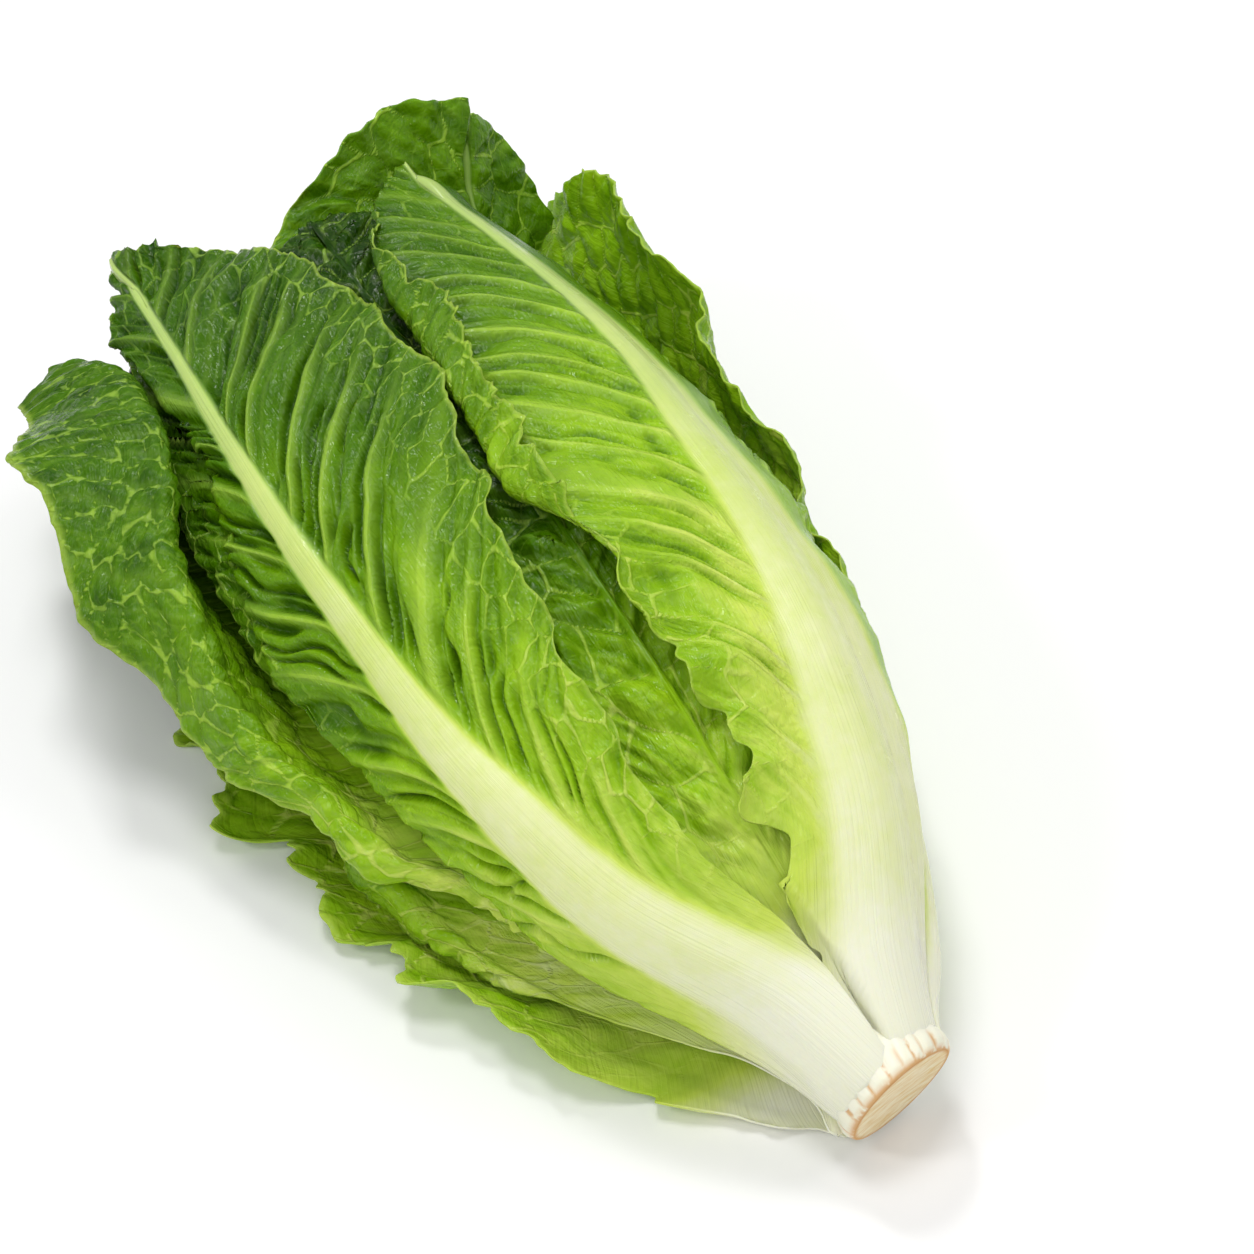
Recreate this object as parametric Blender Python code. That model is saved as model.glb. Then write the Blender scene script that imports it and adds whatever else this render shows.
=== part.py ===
"""A romaine heart lying on its side: a cut stem and the separate leaves that clasp it.

The heart lies along +Y, cut end at -Y and leaf tips at +Y, and rests on the surface z = 0.
Every leaf is one thin solid. It is drawn in coordinates wrapped round the heart: a distance
along the heart, an angle round it (0 on top, growing to the left, which is -X), and a layer,
which is 1 on the heart's outside and falls towards its middle. The leaves are laid from the
outside in, and each one is kept clear of those already laid over it.
"""

import math

import bmesh
import bpy
import numpy as np

MM = 0.001

# The heart's outside in mm, from the cut face to the leaf tips. Widths are half widths.
STATIONS = (0.0, 15.0, 35.0, 80.0, 120.0, 160.0, 200.0, 268.0)
LEFT_HALF_WIDTH = (14.0, 19.5, 34.0, 53.0, 63.0, 70.0, 74.0, 73.0)
RIGHT_HALF_WIDTH = (14.0, 19.0, 30.0, 44.0, 51.0, 55.0, 55.0, 50.0)
HALF_HEIGHT = (14.0, 17.0, 25.0, 36.0, 40.0, 40.0, 38.0, 34.0)

# Leaf blades in mm: how thick they are and the least space between two leaves.
BLADE = 0.8
GAP = 0.7
OUTWARD_SHARE = 0.75
TIP_START = 0.80

# How much a bent up tip spreads sideways, for each mm that it rises.
FAN = 0.009

# The stem in mm: (distance from the cut, radius) from the cut to the point inside.
STEM_PROFILE = (
    (0.0, 12.6), (0.9, 13.2), (4.5, 14.2), (7.6, 15.2), (8.6, 14.4), (9.8, 11.4), (10.8, 8.4),
    (14.0, 6.4), (20.0, 4.8), (30.0, 3.5), (42.0, 2.4), (50.0, 1.5),
)
STEM_SIDES = 30
NUB_COUNT = 9
NUB_HEIGHT = 0.45
CUT_SLANT_ACROSS = math.tan(math.radians(13.0))
CUT_SLANT_UP = math.tan(math.radians(-12.0))

# The origin under the heart's middle, measured in mm from the stem's axis and cut face.
ORIGIN_ACROSS = -19.45
ORIGIN_ALONG = 131.05

# How the heart bears on the surface, in mm from the origin under its middle: three low points
# round its weight and, between them, the middle and radius of a small flat spot. Everything
# else keeps clear of the surface.
LOW_POINTS = ((-38.6, -14.0), (31.4, -63.0), (32.4, 49.0))
FLAT_SPOT = (-0.6, -10.0)
FLAT_RADIUS = 10.0
CLEARANCE = 0.4

# The grid on which the innermost layer used so far is kept.
ROWS = 92
ROW_STEP = 3.0
COLUMNS = 96

OUTER_GREEN = (0.055, 0.20, 0.012, 1.0)
MIDDLE_GREEN = (0.14, 0.34, 0.03, 1.0)
INNER_GREEN = (0.36, 0.52, 0.10, 1.0)
CORE_YELLOW = (0.62, 0.66, 0.22, 1.0)
STEM_CREAM = (0.72, 0.58, 0.38, 1.0)
LEAF_ROUGHNESS = 0.42
STEM_ROUGHNESS = 0.7


def curve(values, at):
    """Smooth value at each place 0 to 1, through evenly spaced values."""
    values = np.asarray(values, float)
    at = np.clip(np.asarray(at, float), 0.0, 1.0) * (len(values) - 1)
    cell = np.minimum(at.astype(int), len(values) - 2)
    part = at - cell
    slopes = np.gradient(values)
    rise = part * part * (3.0 - 2.0 * part)
    leave = part * (1.0 - part) ** 2 * slopes[cell]
    arrive = part * part * (part - 1.0) * slopes[cell + 1]
    return values[cell] + (values[cell + 1] - values[cell]) * rise + leave + arrive


def smoothed(values):
    """The station values on an even table along the heart, with their corners rounded."""
    rough = np.interp(np.linspace(0.0, STATIONS[-1], 135), STATIONS, values)
    ends = np.pad(rough, 6, mode="reflect", reflect_type="odd")
    return np.convolve(ends, np.full(13, 1.0 / 13.0), mode="valid")


LEFT_TABLE = smoothed(LEFT_HALF_WIDTH)
RIGHT_TABLE = smoothed(RIGHT_HALF_WIDTH)
HEIGHT_TABLE = smoothed(HALF_HEIGHT)


def outside(along, angle):
    """Half width and half height of the heart there."""
    at = np.linspace(0.0, STATIONS[-1], len(LEFT_TABLE))
    left = np.interp(along, at, LEFT_TABLE)
    right = np.interp(along, at, RIGHT_TABLE)
    return np.where(np.sin(angle) > 0.0, left, right), np.interp(along, at, HEIGHT_TABLE)


class Layers:
    """How far in the leaves laid so far reach, on a grid along and round the heart."""

    def __init__(self):
        self.inner = np.full((ROWS, COLUMNS), 9.0)

    def at(self, along, angle):
        """The innermost layer used over each place."""
        row = np.clip(along / ROW_STEP, 0.0, ROWS - 1.001)
        column = np.mod(angle / (2.0 * math.pi) * COLUMNS, COLUMNS)
        r, c = row.astype(int), column.astype(int) % COLUMNS
        fr, fc = row - r, column - column.astype(int)
        nxt = (c + 1) % COLUMNS
        low = self.inner[r, c] * (1.0 - fc) + self.inner[r, nxt] * fc
        high = self.inner[r + 1, c] * (1.0 - fc) + self.inner[r + 1, nxt] * fc
        return low * (1.0 - fr) + high * fr

    def cover(self, along, angle, layer):
        """A copy with one more leaf, whose inner face is at these places."""
        row = np.clip(np.rint(along / ROW_STEP).astype(int), 0, ROWS - 1)
        column = np.rint(angle / (2.0 * math.pi) * COLUMNS).astype(int) % COLUMNS
        mine = np.full((ROWS, COLUMNS), 9.0)
        np.minimum.at(mine, (row, column), layer)
        mine = shifted(mine, 1, np.minimum.reduce)
        covered = Layers()
        covered.inner = np.minimum(self.inner, mine)
        return covered

    def softened(self):
        """The same layers without steps, nowhere further out than they are."""
        soft = Layers()
        low = shifted(np.minimum(self.inner, 1.5), 2, np.minimum.reduce)
        soft.inner = shifted(low, 2, lambda stack: sum(stack) / len(stack))
        return soft


def shifted(grid, spread, gather):
    """Gathers each grid place with its neighbours along and round the heart."""
    steps = range(-spread, spread + 1)
    grid = gather([np.roll(grid, step, axis=1) for step in steps])
    tall = np.pad(grid, ((spread, spread), (0, 0)), mode="edge")
    return gather([tall[spread + step : spread + step + ROWS] for step in steps])


class Side:
    """One half of a blade, on the left or right of its rib as seen from outside, tip up.

    widths: mm from rib to margin, from base to tip
    lifts: mm that the margin stands away from the heart, from base to tip
    flap: mm of margin that is folded back outwards, from base to tip, or None
    fold: degrees that the flap turns through
    roll: mm, the radius of the fold
    """

    def __init__(self, widths, lifts=(0.0, 0.0), flap=None, fold=150.0, roll=3.0):
        self.widths, self.lifts, self.flap = widths, lifts, flap
        self.fold, self.roll = math.radians(fold), roll

    def section(self, share, place, scale):
        """mm along the layer, then mm past the fold, out of the layer and into it, and the width's share."""
        full = curve(self.widths, place) * scale
        reach = full * share**1.1
        hinge = full
        if self.flap is not None:
            hinge = full - np.clip(curve(self.flap, place) * scale, 0.0, 0.7 * full)
        lift = curve(self.lifts, place) * np.minimum(reach / np.maximum(hinge, 0.1), 1.0) ** 2
        sink, lift = np.minimum(lift, 0.0), np.maximum(lift, 0.0)
        if self.flap is None:
            return reach, np.zeros_like(full), lift, sink, share
        past = np.maximum(reach - hinge, 0.0)
        turn = np.minimum(past / self.roll, self.fold)
        straight = np.maximum(past - self.roll * self.fold, 0.0)
        back = self.roll * np.sin(turn) + straight * math.cos(self.fold)
        rise = self.roll * (1.0 - np.cos(turn)) + straight * math.sin(self.fold)
        return np.minimum(reach, hinge), back, lift + rise, sink, share


class Leaf:
    """One leaf.

    span: mm along the heart where it starts and ends
    angles: degrees round the heart of its rib, from base to tip
    layers: layer of its blade, from base to tip
    rib: mm that the rib is thicker than the blade, and half widths of the rib, base to tip
    ruffle: mm of ruffle at the margin, its number of waves and where they start
    cells: grid cells across and along
    curl: mm along where the tip starts to bend up, radius in mm and angle in degrees, or None
    bears: whether the heart rests on this leaf
    """

    def __init__(self, name, span, angles, layers, left, right, rib, ruffle, cells, colour, curl=None,
                 tip_start=TIP_START, bears=False):
        self.name, self.span, self.angles, self.layers = name, span, angles, layers
        self.left, self.right = left, right
        self.rib_height, self.rib_widths = rib
        self.ruffle, self.cells, self.colour, self.curl = ruffle, cells, colour, curl
        self.tip_start, self.bears = tip_start, bears
        self.over = Layers()

    def shape(self, u, v):
        """Wrapped and plain coordinates of the blade's middle at grid places u and v."""
        start = self.tip_start
        tip = np.clip((v - start) / (1.0 - start), 0.0, 1.0)
        end = start + (1.0 - start) * tip * np.sqrt(1.0 - u * u / 2.0)
        place = np.where(v < start, v, end)
        scale = np.sqrt(1.0 - tip * tip / 2.0)
        along = self.span[0] + (self.span[1] - self.span[0]) * place
        rib_angle = np.radians(curve(self.angles, place))
        layer = curve(self.layers, place)
        width, height = outside(along, rib_angle)
        radius = np.maximum(layer * np.sqrt((width**2 + height**2) / 2.0), 4.0)
        is_left = u < 0.0
        parts = zip(self.left.section(-u * is_left, place, scale), self.right.section(u * ~is_left, place, scale))
        reach, back, lift, sink, margin = (np.where(is_left, a, b) for a, b in parts)
        turn = np.where(is_left, 1.0, -1.0)
        angle = rib_angle + turn * reach / radius
        width, height = outside(along, angle)
        sine, cosine = np.sin(angle), np.cos(angle)
        size = np.sqrt((height * sine) ** 2 + (width * cosine) ** 2)
        depth = width * height / size
        rib = self.rib(place, reach + np.abs(back))
        wave = self.wave(place, margin, v, is_left)
        limit = self.over.at(along, angle) - (GAP + BLADE / 2.0 + OUTWARD_SHARE * rib) / depth
        flat = (height - BLADE / 2.0 - CLEARANCE) / (height * np.maximum(-cosine, 0.01))
        layer = np.maximum(np.minimum(np.minimum(layer + (wave + sink) / depth, limit), flat), 0.03)
        side = turn * back
        x = -layer * width * sine - (width * cosine / size) * side - (height * sine / size) * lift
        z = height + layer * height * cosine - (height * sine / size) * side + (width * cosine / size) * lift
        point = np.stack([x, along, np.maximum(z, BLADE / 2.0 + CLEARANCE)], axis=-1)
        inner = layer - (BLADE / 2.0 + (1.0 - OUTWARD_SHARE) * rib) / depth
        return self.curled(point), (along, angle, inner), rib

    def rib(self, place, beside):
        """mm that the rib adds to the thickness at a distance beside its middle."""
        half = curve(self.rib_widths, place)
        return curve(self.rib_height, place) * np.clip(1.0 - (beside / half) ** 2, 0.0, 1.0) ** 1.5

    def wave(self, place, margin, v, is_left):
        """mm of ruffle outwards."""
        size, count, start = self.ruffle
        shift = np.where(is_left, 0.0, 1.9)
        wave = np.sin(2.0 * math.pi * count * place + start + shift)
        wave = wave + 0.45 * np.sin(2.0 * math.pi * 1.7 * count * place + 2.0 * start - shift)
        edge = np.maximum(margin**2.2, np.clip((v - 0.88) / 0.12, 0.0, 1.0) ** 2)
        return size * wave * edge * np.clip((place - 0.1) / 0.3, 0.0, 1.0)

    def curled(self, point):
        """The points with the leaf's tip bent upwards."""
        if self.curl is None:
            return point
        start, radius, angle = self.curl
        past = np.maximum(point[..., 1] - start, 0.0)
        turn = np.minimum(past / radius, math.radians(angle))
        straight = np.maximum(past - radius * math.radians(angle), 0.0)
        along = radius * np.sin(turn) + straight * math.cos(math.radians(angle))
        rise = radius * (1.0 - np.cos(turn)) + straight * math.sin(math.radians(angle))
        bent = point.copy()
        bent[..., 1] = np.minimum(point[..., 1], start) + along
        bent[..., 2] = point[..., 2] + rise
        bent[..., 0] = point[..., 0] * (1.0 + FAN * rise)
        return bent

    def lay(self, layers):
        """Lays the leaf inside the ones laid before and gives the layers with it added."""
        self.over = layers.softened()
        u, v = grid(48, 96)
        _, (along, angle, inner), _ = self.shape(u, v)
        return layers.cover(along, angle, inner)

    def faces(self):
        """The blade's inner and outer faces in mm, as grids of points."""
        u, v = grid(*self.cells)
        point, _, rib = self.shape(u, v)
        out = normals(point)
        outer = point + out * (BLADE / 2.0 + OUTWARD_SHARE * rib)[..., None]
        inner = point - out * (BLADE / 2.0 + (1.0 - OUTWARD_SHARE) * rib)[..., None]
        outer[..., 2] = np.maximum(outer[..., 2], CLEARANCE)
        if self.bears:
            settle(outer)
        return inner, outer


def grid(across, along):
    """Grid places u from -1 (left margin) to 1 (right margin) and v from 0 (base) to 1 (tip)."""
    return np.meshgrid(np.linspace(-1.0, 1.0, across + 1), np.linspace(0.0, 1.0, along + 1), indexing="ij")


def normals(points):
    """Unit normals of a grid of points, pointing out of the heart."""
    normal = np.cross(np.gradient(points, axis=0), np.gradient(points, axis=1))
    return normal / np.maximum(np.linalg.norm(normal, axis=-1, keepdims=True), 1e-9)


def settle(face):
    """Brings the places of an under face that bear on the surface down to it."""
    place = face[..., :2] - (ORIGIN_ACROSS, ORIGIN_ALONG)
    face[np.linalg.norm(place - FLAT_SPOT, axis=-1) < FLAT_RADIUS, 2] = 0.0
    for low_point in LOW_POINTS:
        away = np.linalg.norm(place - low_point, axis=-1)
        face[np.unravel_index(np.argmin(away), away.shape)][2] = 0.0


def outer_leaves():
    """The six leaves that show most, outermost first."""
    cells = (12, 24)
    return [
        Leaf("leaf_under", (11.4, 206.0), (206, 200, 194, 190, 188, 186), (0.84, 1.0, 1.03, 1.03, 1.03, 1.02),
             Side((8, 24, 40, 48, 50, 44), (0, 0, 1, 2, 2)),
             Side((22, 33.5, 44.5, 53, 58, 60, 61, 61, 61, 61, 60, 59, 57, 53, 48),
                  (12, 18, 21, 21.5, 23, 26, 28, 28, 28, 28, 27, 26, 24, 20, 16)),
             ((2.6, 2.6, 2.2, 1.5, 0.8), (8, 8, 6, 4, 3)), (2.6, 6.0, 0.4), cells, OUTER_GREEN,
             bears=True),
        Leaf("leaf_low_left", (13.0, 236.0), (150, 142, 142, 146, 150, 150, 150, 150),
             (1.02, 1.40, 1.28, 1.1, 1.0, 0.97, 0.97, 0.97),
             Side((5, 18, 32, 36, 34, 30)),
             Side((9, 22, 32, 42, 48, 48, 44, 38), (0, 10, 17, 15, 11, 8, 4, 0), (0, 2, 8, 12, 13, 10, 6, 3),
                  fold=140.0, roll=2.5),
             ((1.2, 2.2, 2.0, 1.5, 0.8), (6.5, 6.5, 5, 4, 3)), (1.4, 7.0, 2.0), (15, 24), OUTER_GREEN),
        Leaf("leaf_right", (11.4, 266.0), (-94, -100, -105, -108, -110), (0.82, 0.98, 1.0, 1.0, 1.0),
             Side((5, 8, 10, 15, 29, 39, 43, 46, 48), (0, 0, 0, 0, 2, 5, 13, 17, 14)),
             Side((6, 20, 32, 36, 34, 30)),
             ((3.8, 3.2, 2.4, 1.5, 0.8), (7, 8, 6, 4, 3)), (2.0, 6.0, 1.1), cells, OUTER_GREEN,
             tip_start=0.70),
        Leaf("leaf_left", (18.0, 259.0), (138, 130, 126, 124, 122, 120, 118, 116, 115),
             (0.86, 1.0, 1.0, 1.0, 1.0, 1.01, 1.02),
             Side((4, 16, 32, 36, 34, 30)),
             Side((5, 14, 23, 33, 46, 70, 92, 88, 70), (0, 4, 6, 11, 12, 8, 3, 0, 0),
                  (0, 4, 9, 11, 18, 28, 36, 33, 18), fold=148.0),
             ((1.2, 2.2, 2.2, 1.5, 0.8), (4, 5, 5, 4, 3)), (1.6, 6.0, 0.6), (16, 25), OUTER_GREEN),
        Leaf("leaf_top_left", (10.8, 266.0), (44, 62, 64, 63, 59, 54, 50, 48, 47),
             (0.83, 1.06, 1.04, 1.0, 1.0, 1.0, 1.0, 1.0),
             Side((19, 29, 33.5, 31.5, 31, 30, 30, 17, 9), (0, 2, 4.2, 7.5, 9.5, 4.5, 0, 0, 0)),
             Side((7.5, 20.5, 27, 35, 38.5, 42, 38, 30, 19), (0, 0, 1, 2, 2, 2, 1)),
             ((4.2, 4.0, 3.0, 2.0, 1.2, 0.8), (11.5, 11.5, 8, 5.5, 3.5, 2.5)), (1.5, 7.0, 0.2), cells,
             MIDDLE_GREEN),
        Leaf("leaf_top_right", (10.8, 246.0), (-18, -31, -29, -25, -21, -21, -18, -13, -8),
             (0.80, 1.0, 1.02, 1.0, 1.0, 1.02, 1.08),
             Side((9.0, 21, 25, 27, 39, 42, 35, 25, 14), (0, 0), (0, 0, 0, 3, 11, 15, 13, 8, 2),
                  fold=150.0, roll=2.4),
             Side((12, 24, 32, 36, 38, 36, 32, 26, 18), (0, 0, 0, -2, -6, -9, -10, -8)),
             ((4.2, 4.0, 3.0, 2.0, 1.2, 0.8), (11, 12, 9, 6, 4, 2.5)), (1.3, 8.0, 1.6), (15, 24), MIDDLE_GREEN),
    ]


def second_leaves():
    """The leaves under them: one fills the gap on top and one stands up at the back."""
    rib = ((2.0, 2.0, 1.5, 1.0, 0.6), (5, 6, 5, 3.5, 2.5))
    plain = Side((6, 17, 26, 32, 34, 30))
    cells = (8, 18)
    layers = (0.62, 0.76, 0.82, 0.84, 0.84)
    return [
        Leaf("leaf_between", (16.5, 243.0), (12, 13, 12, 12, 10), (0.64, 0.80, 0.86, 0.88, 0.89, 0.93),
             Side((5, 15, 24, 32, 36, 36, 30)), Side((5, 15, 24, 32, 36, 36, 26)),
             rib, (2.2, 8.0, 0.7), (10, 22), MIDDLE_GREEN),
        Leaf("leaf_back", (20.0, 272.0), (-46, -46, -47, -50), (0.60, 0.70, 0.75, 0.75, 0.74),
             Side((5, 15, 26, 34, 40, 46, 48)), Side((5, 14, 21, 25, 29, 34, 40), (0, 0, 0, 0, 2, 7, 10)),
             rib, (2.0, 7.0, 1.9), (10, 22), OUTER_GREEN, (234.0, 20.0, 62.0)),
        Leaf("leaf_second_left", (19.0, 246.0), (84, 86, 86, 84, 84), layers, plain, plain, rib,
             (2.2, 6.0, 0.3), cells, MIDDLE_GREEN),
        Leaf("leaf_second_low", (25.0, 238.0), (158, 160, 160, 158, 158), layers, plain, plain, rib,
             (2.2, 7.0, 1.3), cells, MIDDLE_GREEN),
        Leaf("leaf_second_right", (19.0, 240.0), (-120, -122, -122, -117, -112), layers, plain, plain, rib,
             (2.2, 6.0, 2.3), cells, MIDDLE_GREEN),
    ]


def inner_leaves():
    """The pale leaves inside, in two rings."""
    rib = ((1.2, 1.4, 1.2, 0.8, 0.4), (3, 4, 3.5, 3, 2))
    made = []
    for ring, count, start, reach, layer, widths, colour in (
        ("third", 4, 36.0, 216.0, (0.44, 0.52, 0.57, 0.58), (4, 13, 21, 26, 26, 20), INNER_GREEN),
        ("core", 3, 42.0, 170.0, (0.20, 0.26, 0.30, 0.30), (3, 7, 12, 14, 13, 9), CORE_YELLOW),
    ):
        for number in range(count):
            middle = 48.0 + 360.0 * number / count
            side = Side(widths)
            made.append(
                Leaf(f"leaf_{ring}_{number + 1}", (start, reach - 9.0 * number), (middle, middle),
                     layer, side, side, rib, (1.6, 5.0, 1.7 * number), (6, 12), colour)
            )
    return made


def coloured(thing, colour, roughness):
    """Gives an object its own plain material."""
    material = bpy.data.materials.new(thing.name)
    material.use_nodes = True
    surface = material.node_tree.nodes["Principled BSDF"]
    surface.inputs["Base Color"].default_value = colour
    surface.inputs["Roughness"].default_value = roughness
    surface.inputs["Metallic"].default_value = 0.0
    thing.data.materials.append(material)


def finished(name, mesh, collection):
    """Turns a built mesh into a named object of the heart."""
    bmesh.ops.recalc_face_normals(mesh, faces=mesh.faces[:])
    data = bpy.data.meshes.new(name)
    mesh.to_mesh(data)
    mesh.free()
    thing = bpy.data.objects.new(name, data)
    collection.objects.link(thing)
    return thing


def placed(point):
    """A point in mm from the stem's axis and cut face, in metres from the origin."""
    return ((point[0] - ORIGIN_ACROSS) * MM, (point[1] - ORIGIN_ALONG) * MM, point[2] * MM)


def leaf_object(leaf, collection):
    """One closed solid: a flat triangulated grid gets a second face, and both are moved."""
    across, along = leaf.cells
    mesh = bmesh.new()
    bmesh.ops.create_grid(mesh, x_segments=across, y_segments=along, size=1.0)
    bmesh.ops.triangulate(mesh, faces=mesh.faces[:])
    made = bmesh.ops.extrude_face_region(mesh, geom=mesh.faces[:], use_keep_orig=True)
    for item in made["geom"]:
        if isinstance(item, bmesh.types.BMVert):
            item.co.z = 1.0
    inner, outer = leaf.faces()
    for vert in mesh.verts:
        i = round((vert.co.x + 1.0) / 2.0 * across)
        j = round((vert.co.y + 1.0) / 2.0 * along)
        vert.co = placed((outer if vert.co.z > 0.5 else inner)[i, j])
    thing = finished(leaf.name, mesh, collection)
    coloured(thing, leaf.colour, LEAF_ROUGHNESS)
    return thing


def stem_object(collection):
    """The turned stem with small nubs round its collar and a slanted cut."""
    mesh = bmesh.new()
    line = [mesh.verts.new((radius, along, 0.0)) for along, radius in STEM_PROFILE]
    edges = [mesh.edges.new(pair) for pair in zip(line, line[1:])]
    bmesh.ops.spin(
        mesh, geom=line + edges, cent=(0.0, 0.0, 0.0), axis=(0.0, 1.0, 0.0), angle=2.0 * math.pi,
        steps=STEM_SIDES, use_merge=True,
    )
    bmesh.ops.remove_doubles(mesh, verts=mesh.verts[:], dist=0.0001)
    rims = [edge for edge in mesh.edges if edge.is_boundary]
    bmesh.ops.contextual_create(mesh, geom=[edge for edge in rims if edge.verts[0].co.y < 1.0])
    bmesh.ops.contextual_create(mesh, geom=[edge for edge in rims if edge.verts[0].co.y > 1.0])
    collar = STEM_PROFILE[3][0]
    for vert in mesh.verts:
        turn = math.atan2(vert.co.z, vert.co.x)
        share = max(1.0 - vert.co.y / collar, 0.0)
        if 0.5 < vert.co.y < collar:
            swell = 1.0 + NUB_HEIGHT * math.sin(NUB_COUNT * turn) / STEM_PROFILE[2][1]
            vert.co.x *= swell
            vert.co.z *= swell
        vert.co.y += share * (CUT_SLANT_ACROSS * vert.co.x + CUT_SLANT_UP * vert.co.z)
    for vert in mesh.verts:
        middle = float(outside(max(vert.co.y, 0.0), 0.0)[1]) + NUB_HEIGHT
        vert.co = placed((vert.co.x, vert.co.y, max(vert.co.z + middle, 0.0)))
    bmesh.ops.triangulate(mesh, faces=mesh.faces[:])
    thing = finished("stem", mesh, collection)
    coloured(thing, STEM_CREAM, STEM_ROUGHNESS)
    return thing


def main():
    for thing in list(bpy.data.objects):
        bpy.data.objects.remove(thing)
    heart = bpy.data.collections.new("romaine_heart")
    bpy.context.scene.collection.children.link(heart)
    stem_object(heart)
    layers = Layers()
    for leaf in outer_leaves() + second_leaves() + inner_leaves():
        layers = leaf.lay(layers)
        leaf_object(leaf, heart)


main()
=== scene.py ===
"""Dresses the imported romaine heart: fine leaves, cut stem, finishes, floor, light and camera.

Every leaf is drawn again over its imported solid, from the same sizes, with the veins, blisters,
teeth and thin margin that the solid leaves out.
"""

from __future__ import annotations

import logging
import math
from dataclasses import dataclass, field
from enum import Enum
from typing import Callable, Optional, Union

import bmesh
import bpy
import numpy as np
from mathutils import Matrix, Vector


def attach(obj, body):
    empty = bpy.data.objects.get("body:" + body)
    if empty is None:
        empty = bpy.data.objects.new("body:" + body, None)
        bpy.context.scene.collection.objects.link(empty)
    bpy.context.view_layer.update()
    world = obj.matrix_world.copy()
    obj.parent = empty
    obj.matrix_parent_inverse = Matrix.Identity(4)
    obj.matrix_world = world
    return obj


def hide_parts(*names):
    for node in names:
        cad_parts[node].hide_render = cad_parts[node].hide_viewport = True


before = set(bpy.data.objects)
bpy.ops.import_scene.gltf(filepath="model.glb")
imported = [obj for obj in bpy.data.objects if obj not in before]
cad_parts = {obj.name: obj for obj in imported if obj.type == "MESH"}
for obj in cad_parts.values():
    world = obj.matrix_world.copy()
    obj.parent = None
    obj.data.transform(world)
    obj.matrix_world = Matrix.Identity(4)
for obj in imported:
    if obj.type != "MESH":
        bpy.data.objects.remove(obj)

LOG = logging.getLogger("romaine_heart")
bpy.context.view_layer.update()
BODY = "root"
MM = 0.001
TURN = 2.0 * math.pi

# The origin under the heart's middle, in mm from the stem's axis and cut face.
ORIGIN_ACROSS = -19.45
ORIGIN_ALONG = 131.05

# How much the cut face slants along the heart, for each mm across and up.
STEM_SLANT_ACROSS = math.tan(math.radians(13.0))
STEM_SLANT_UP = math.tan(math.radians(-12.0))

# Leaf blades in mm.
BLADE = 0.8
MARGIN_BLADE = 0.4
GAP = 0.7
OUTWARD_SHARE = 0.75
TIP_START = 0.80
FAN = 0.009

# The grid on which the innermost layer used so far is kept, and its value where nothing lies.
ROWS = 92
ROW_STEP = 3.0
COLUMNS = 96
EMPTY = 9.0

# The even table of the heart's outside, and how many of its places its corners are rounded over.
OUTSIDE_PLACES = 135
OUTSIDE_BLUR = 6

Grid = np.ndarray
Table = tuple[float, ...]
Colour = tuple[float, float, float]
Stops = tuple[tuple[float, Colour], ...]
Socket = bpy.types.NodeSocket
Given = Union[Socket, float, tuple[float, ...]]


# How deep light goes into leaf and stem, in metres.
GLOW_DEPTH = 0.003

# From base to tip: how green a rib is, and how much of its width is pale.
RIB_TONE = (0.06, 0.12, 0.19, 0.29, 0.40, 0.48)
PALE_SHARE = (1.3, 1.15, 0.92, 0.76, 0.52, 0.34)


class Tone(Enum):
    """How green a leaf is from base to tip: (its blade beside the rib, what its margin adds)."""

    DARK = ((0.28, 0.31, 0.36, 0.42, 0.47, 0.50, 0.55, 0.59), (0.06, 0.08, 0.06, 0.04, 0.03, 0.0))
    DEEP = ((0.10, 0.42, 0.56, 0.64, 0.68, 0.70, 0.70, 0.69), (0.10, 0.10, 0.04, 0.02, 0.0, 0.0))
    FRESH = ((0.12, 0.33, 0.47, 0.60, 0.70, 0.78, 0.84, 0.87), (0.04, 0.05, 0.04, 0.05, 0.05, 0.03, 0.0))
    LIGHT = ((0.06, 0.14, 0.26, 0.40, 0.52, 0.62, 0.71, 0.76), (0.06, 0.22, 0.18, 0.13, 0.12, 0.14, 0.12))
    SAVOY = ((0.22, 0.34, 0.50, 0.72, 0.90, 0.96, 0.97, 0.97), (0.06, 0.05, 0.04, 0.02, 0.0))
    FOLDED = ((0.06, 0.12, 0.26, 0.48, 0.66, 0.78, 0.84, 0.86), (0.06, 0.16, 0.14, 0.08, 0.04, 0.0))
    PALE = ((0.05, 0.12, 0.22, 0.34, 0.46, 0.54, 0.60), (0.05, 0.12, 0.10, 0.06))
    YOLK = ((0.02, 0.06, 0.12, 0.20, 0.30, 0.36), (0.05, 0.10, 0.06))


class Seen(Enum):
    """Which way a leaf's blisters swell."""

    OUTWARDS = 1.0
    INWARDS = -1.0


def curve(values: Table, at: Grid) -> Grid:
    """Smooth value at each place, through evenly spaced values.

    Args:
        values: the values from base to tip.
        at: places from 0 to 1.

    Returns:
        One value for each place.
    """
    known = np.asarray(values, float)
    place = np.clip(np.asarray(at, float), 0.0, 1.0) * (len(known) - 1)
    cell = np.minimum(place.astype(int), len(known) - 2)
    part = place - cell
    slopes = np.gradient(known)
    rise = part * part * (3.0 - 2.0 * part)
    leave = part * (1.0 - part) ** 2 * slopes[cell]
    arrive = part * part * (part - 1.0) * slopes[cell + 1]
    return known[cell] + (known[cell + 1] - known[cell]) * rise + leave + arrive


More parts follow.
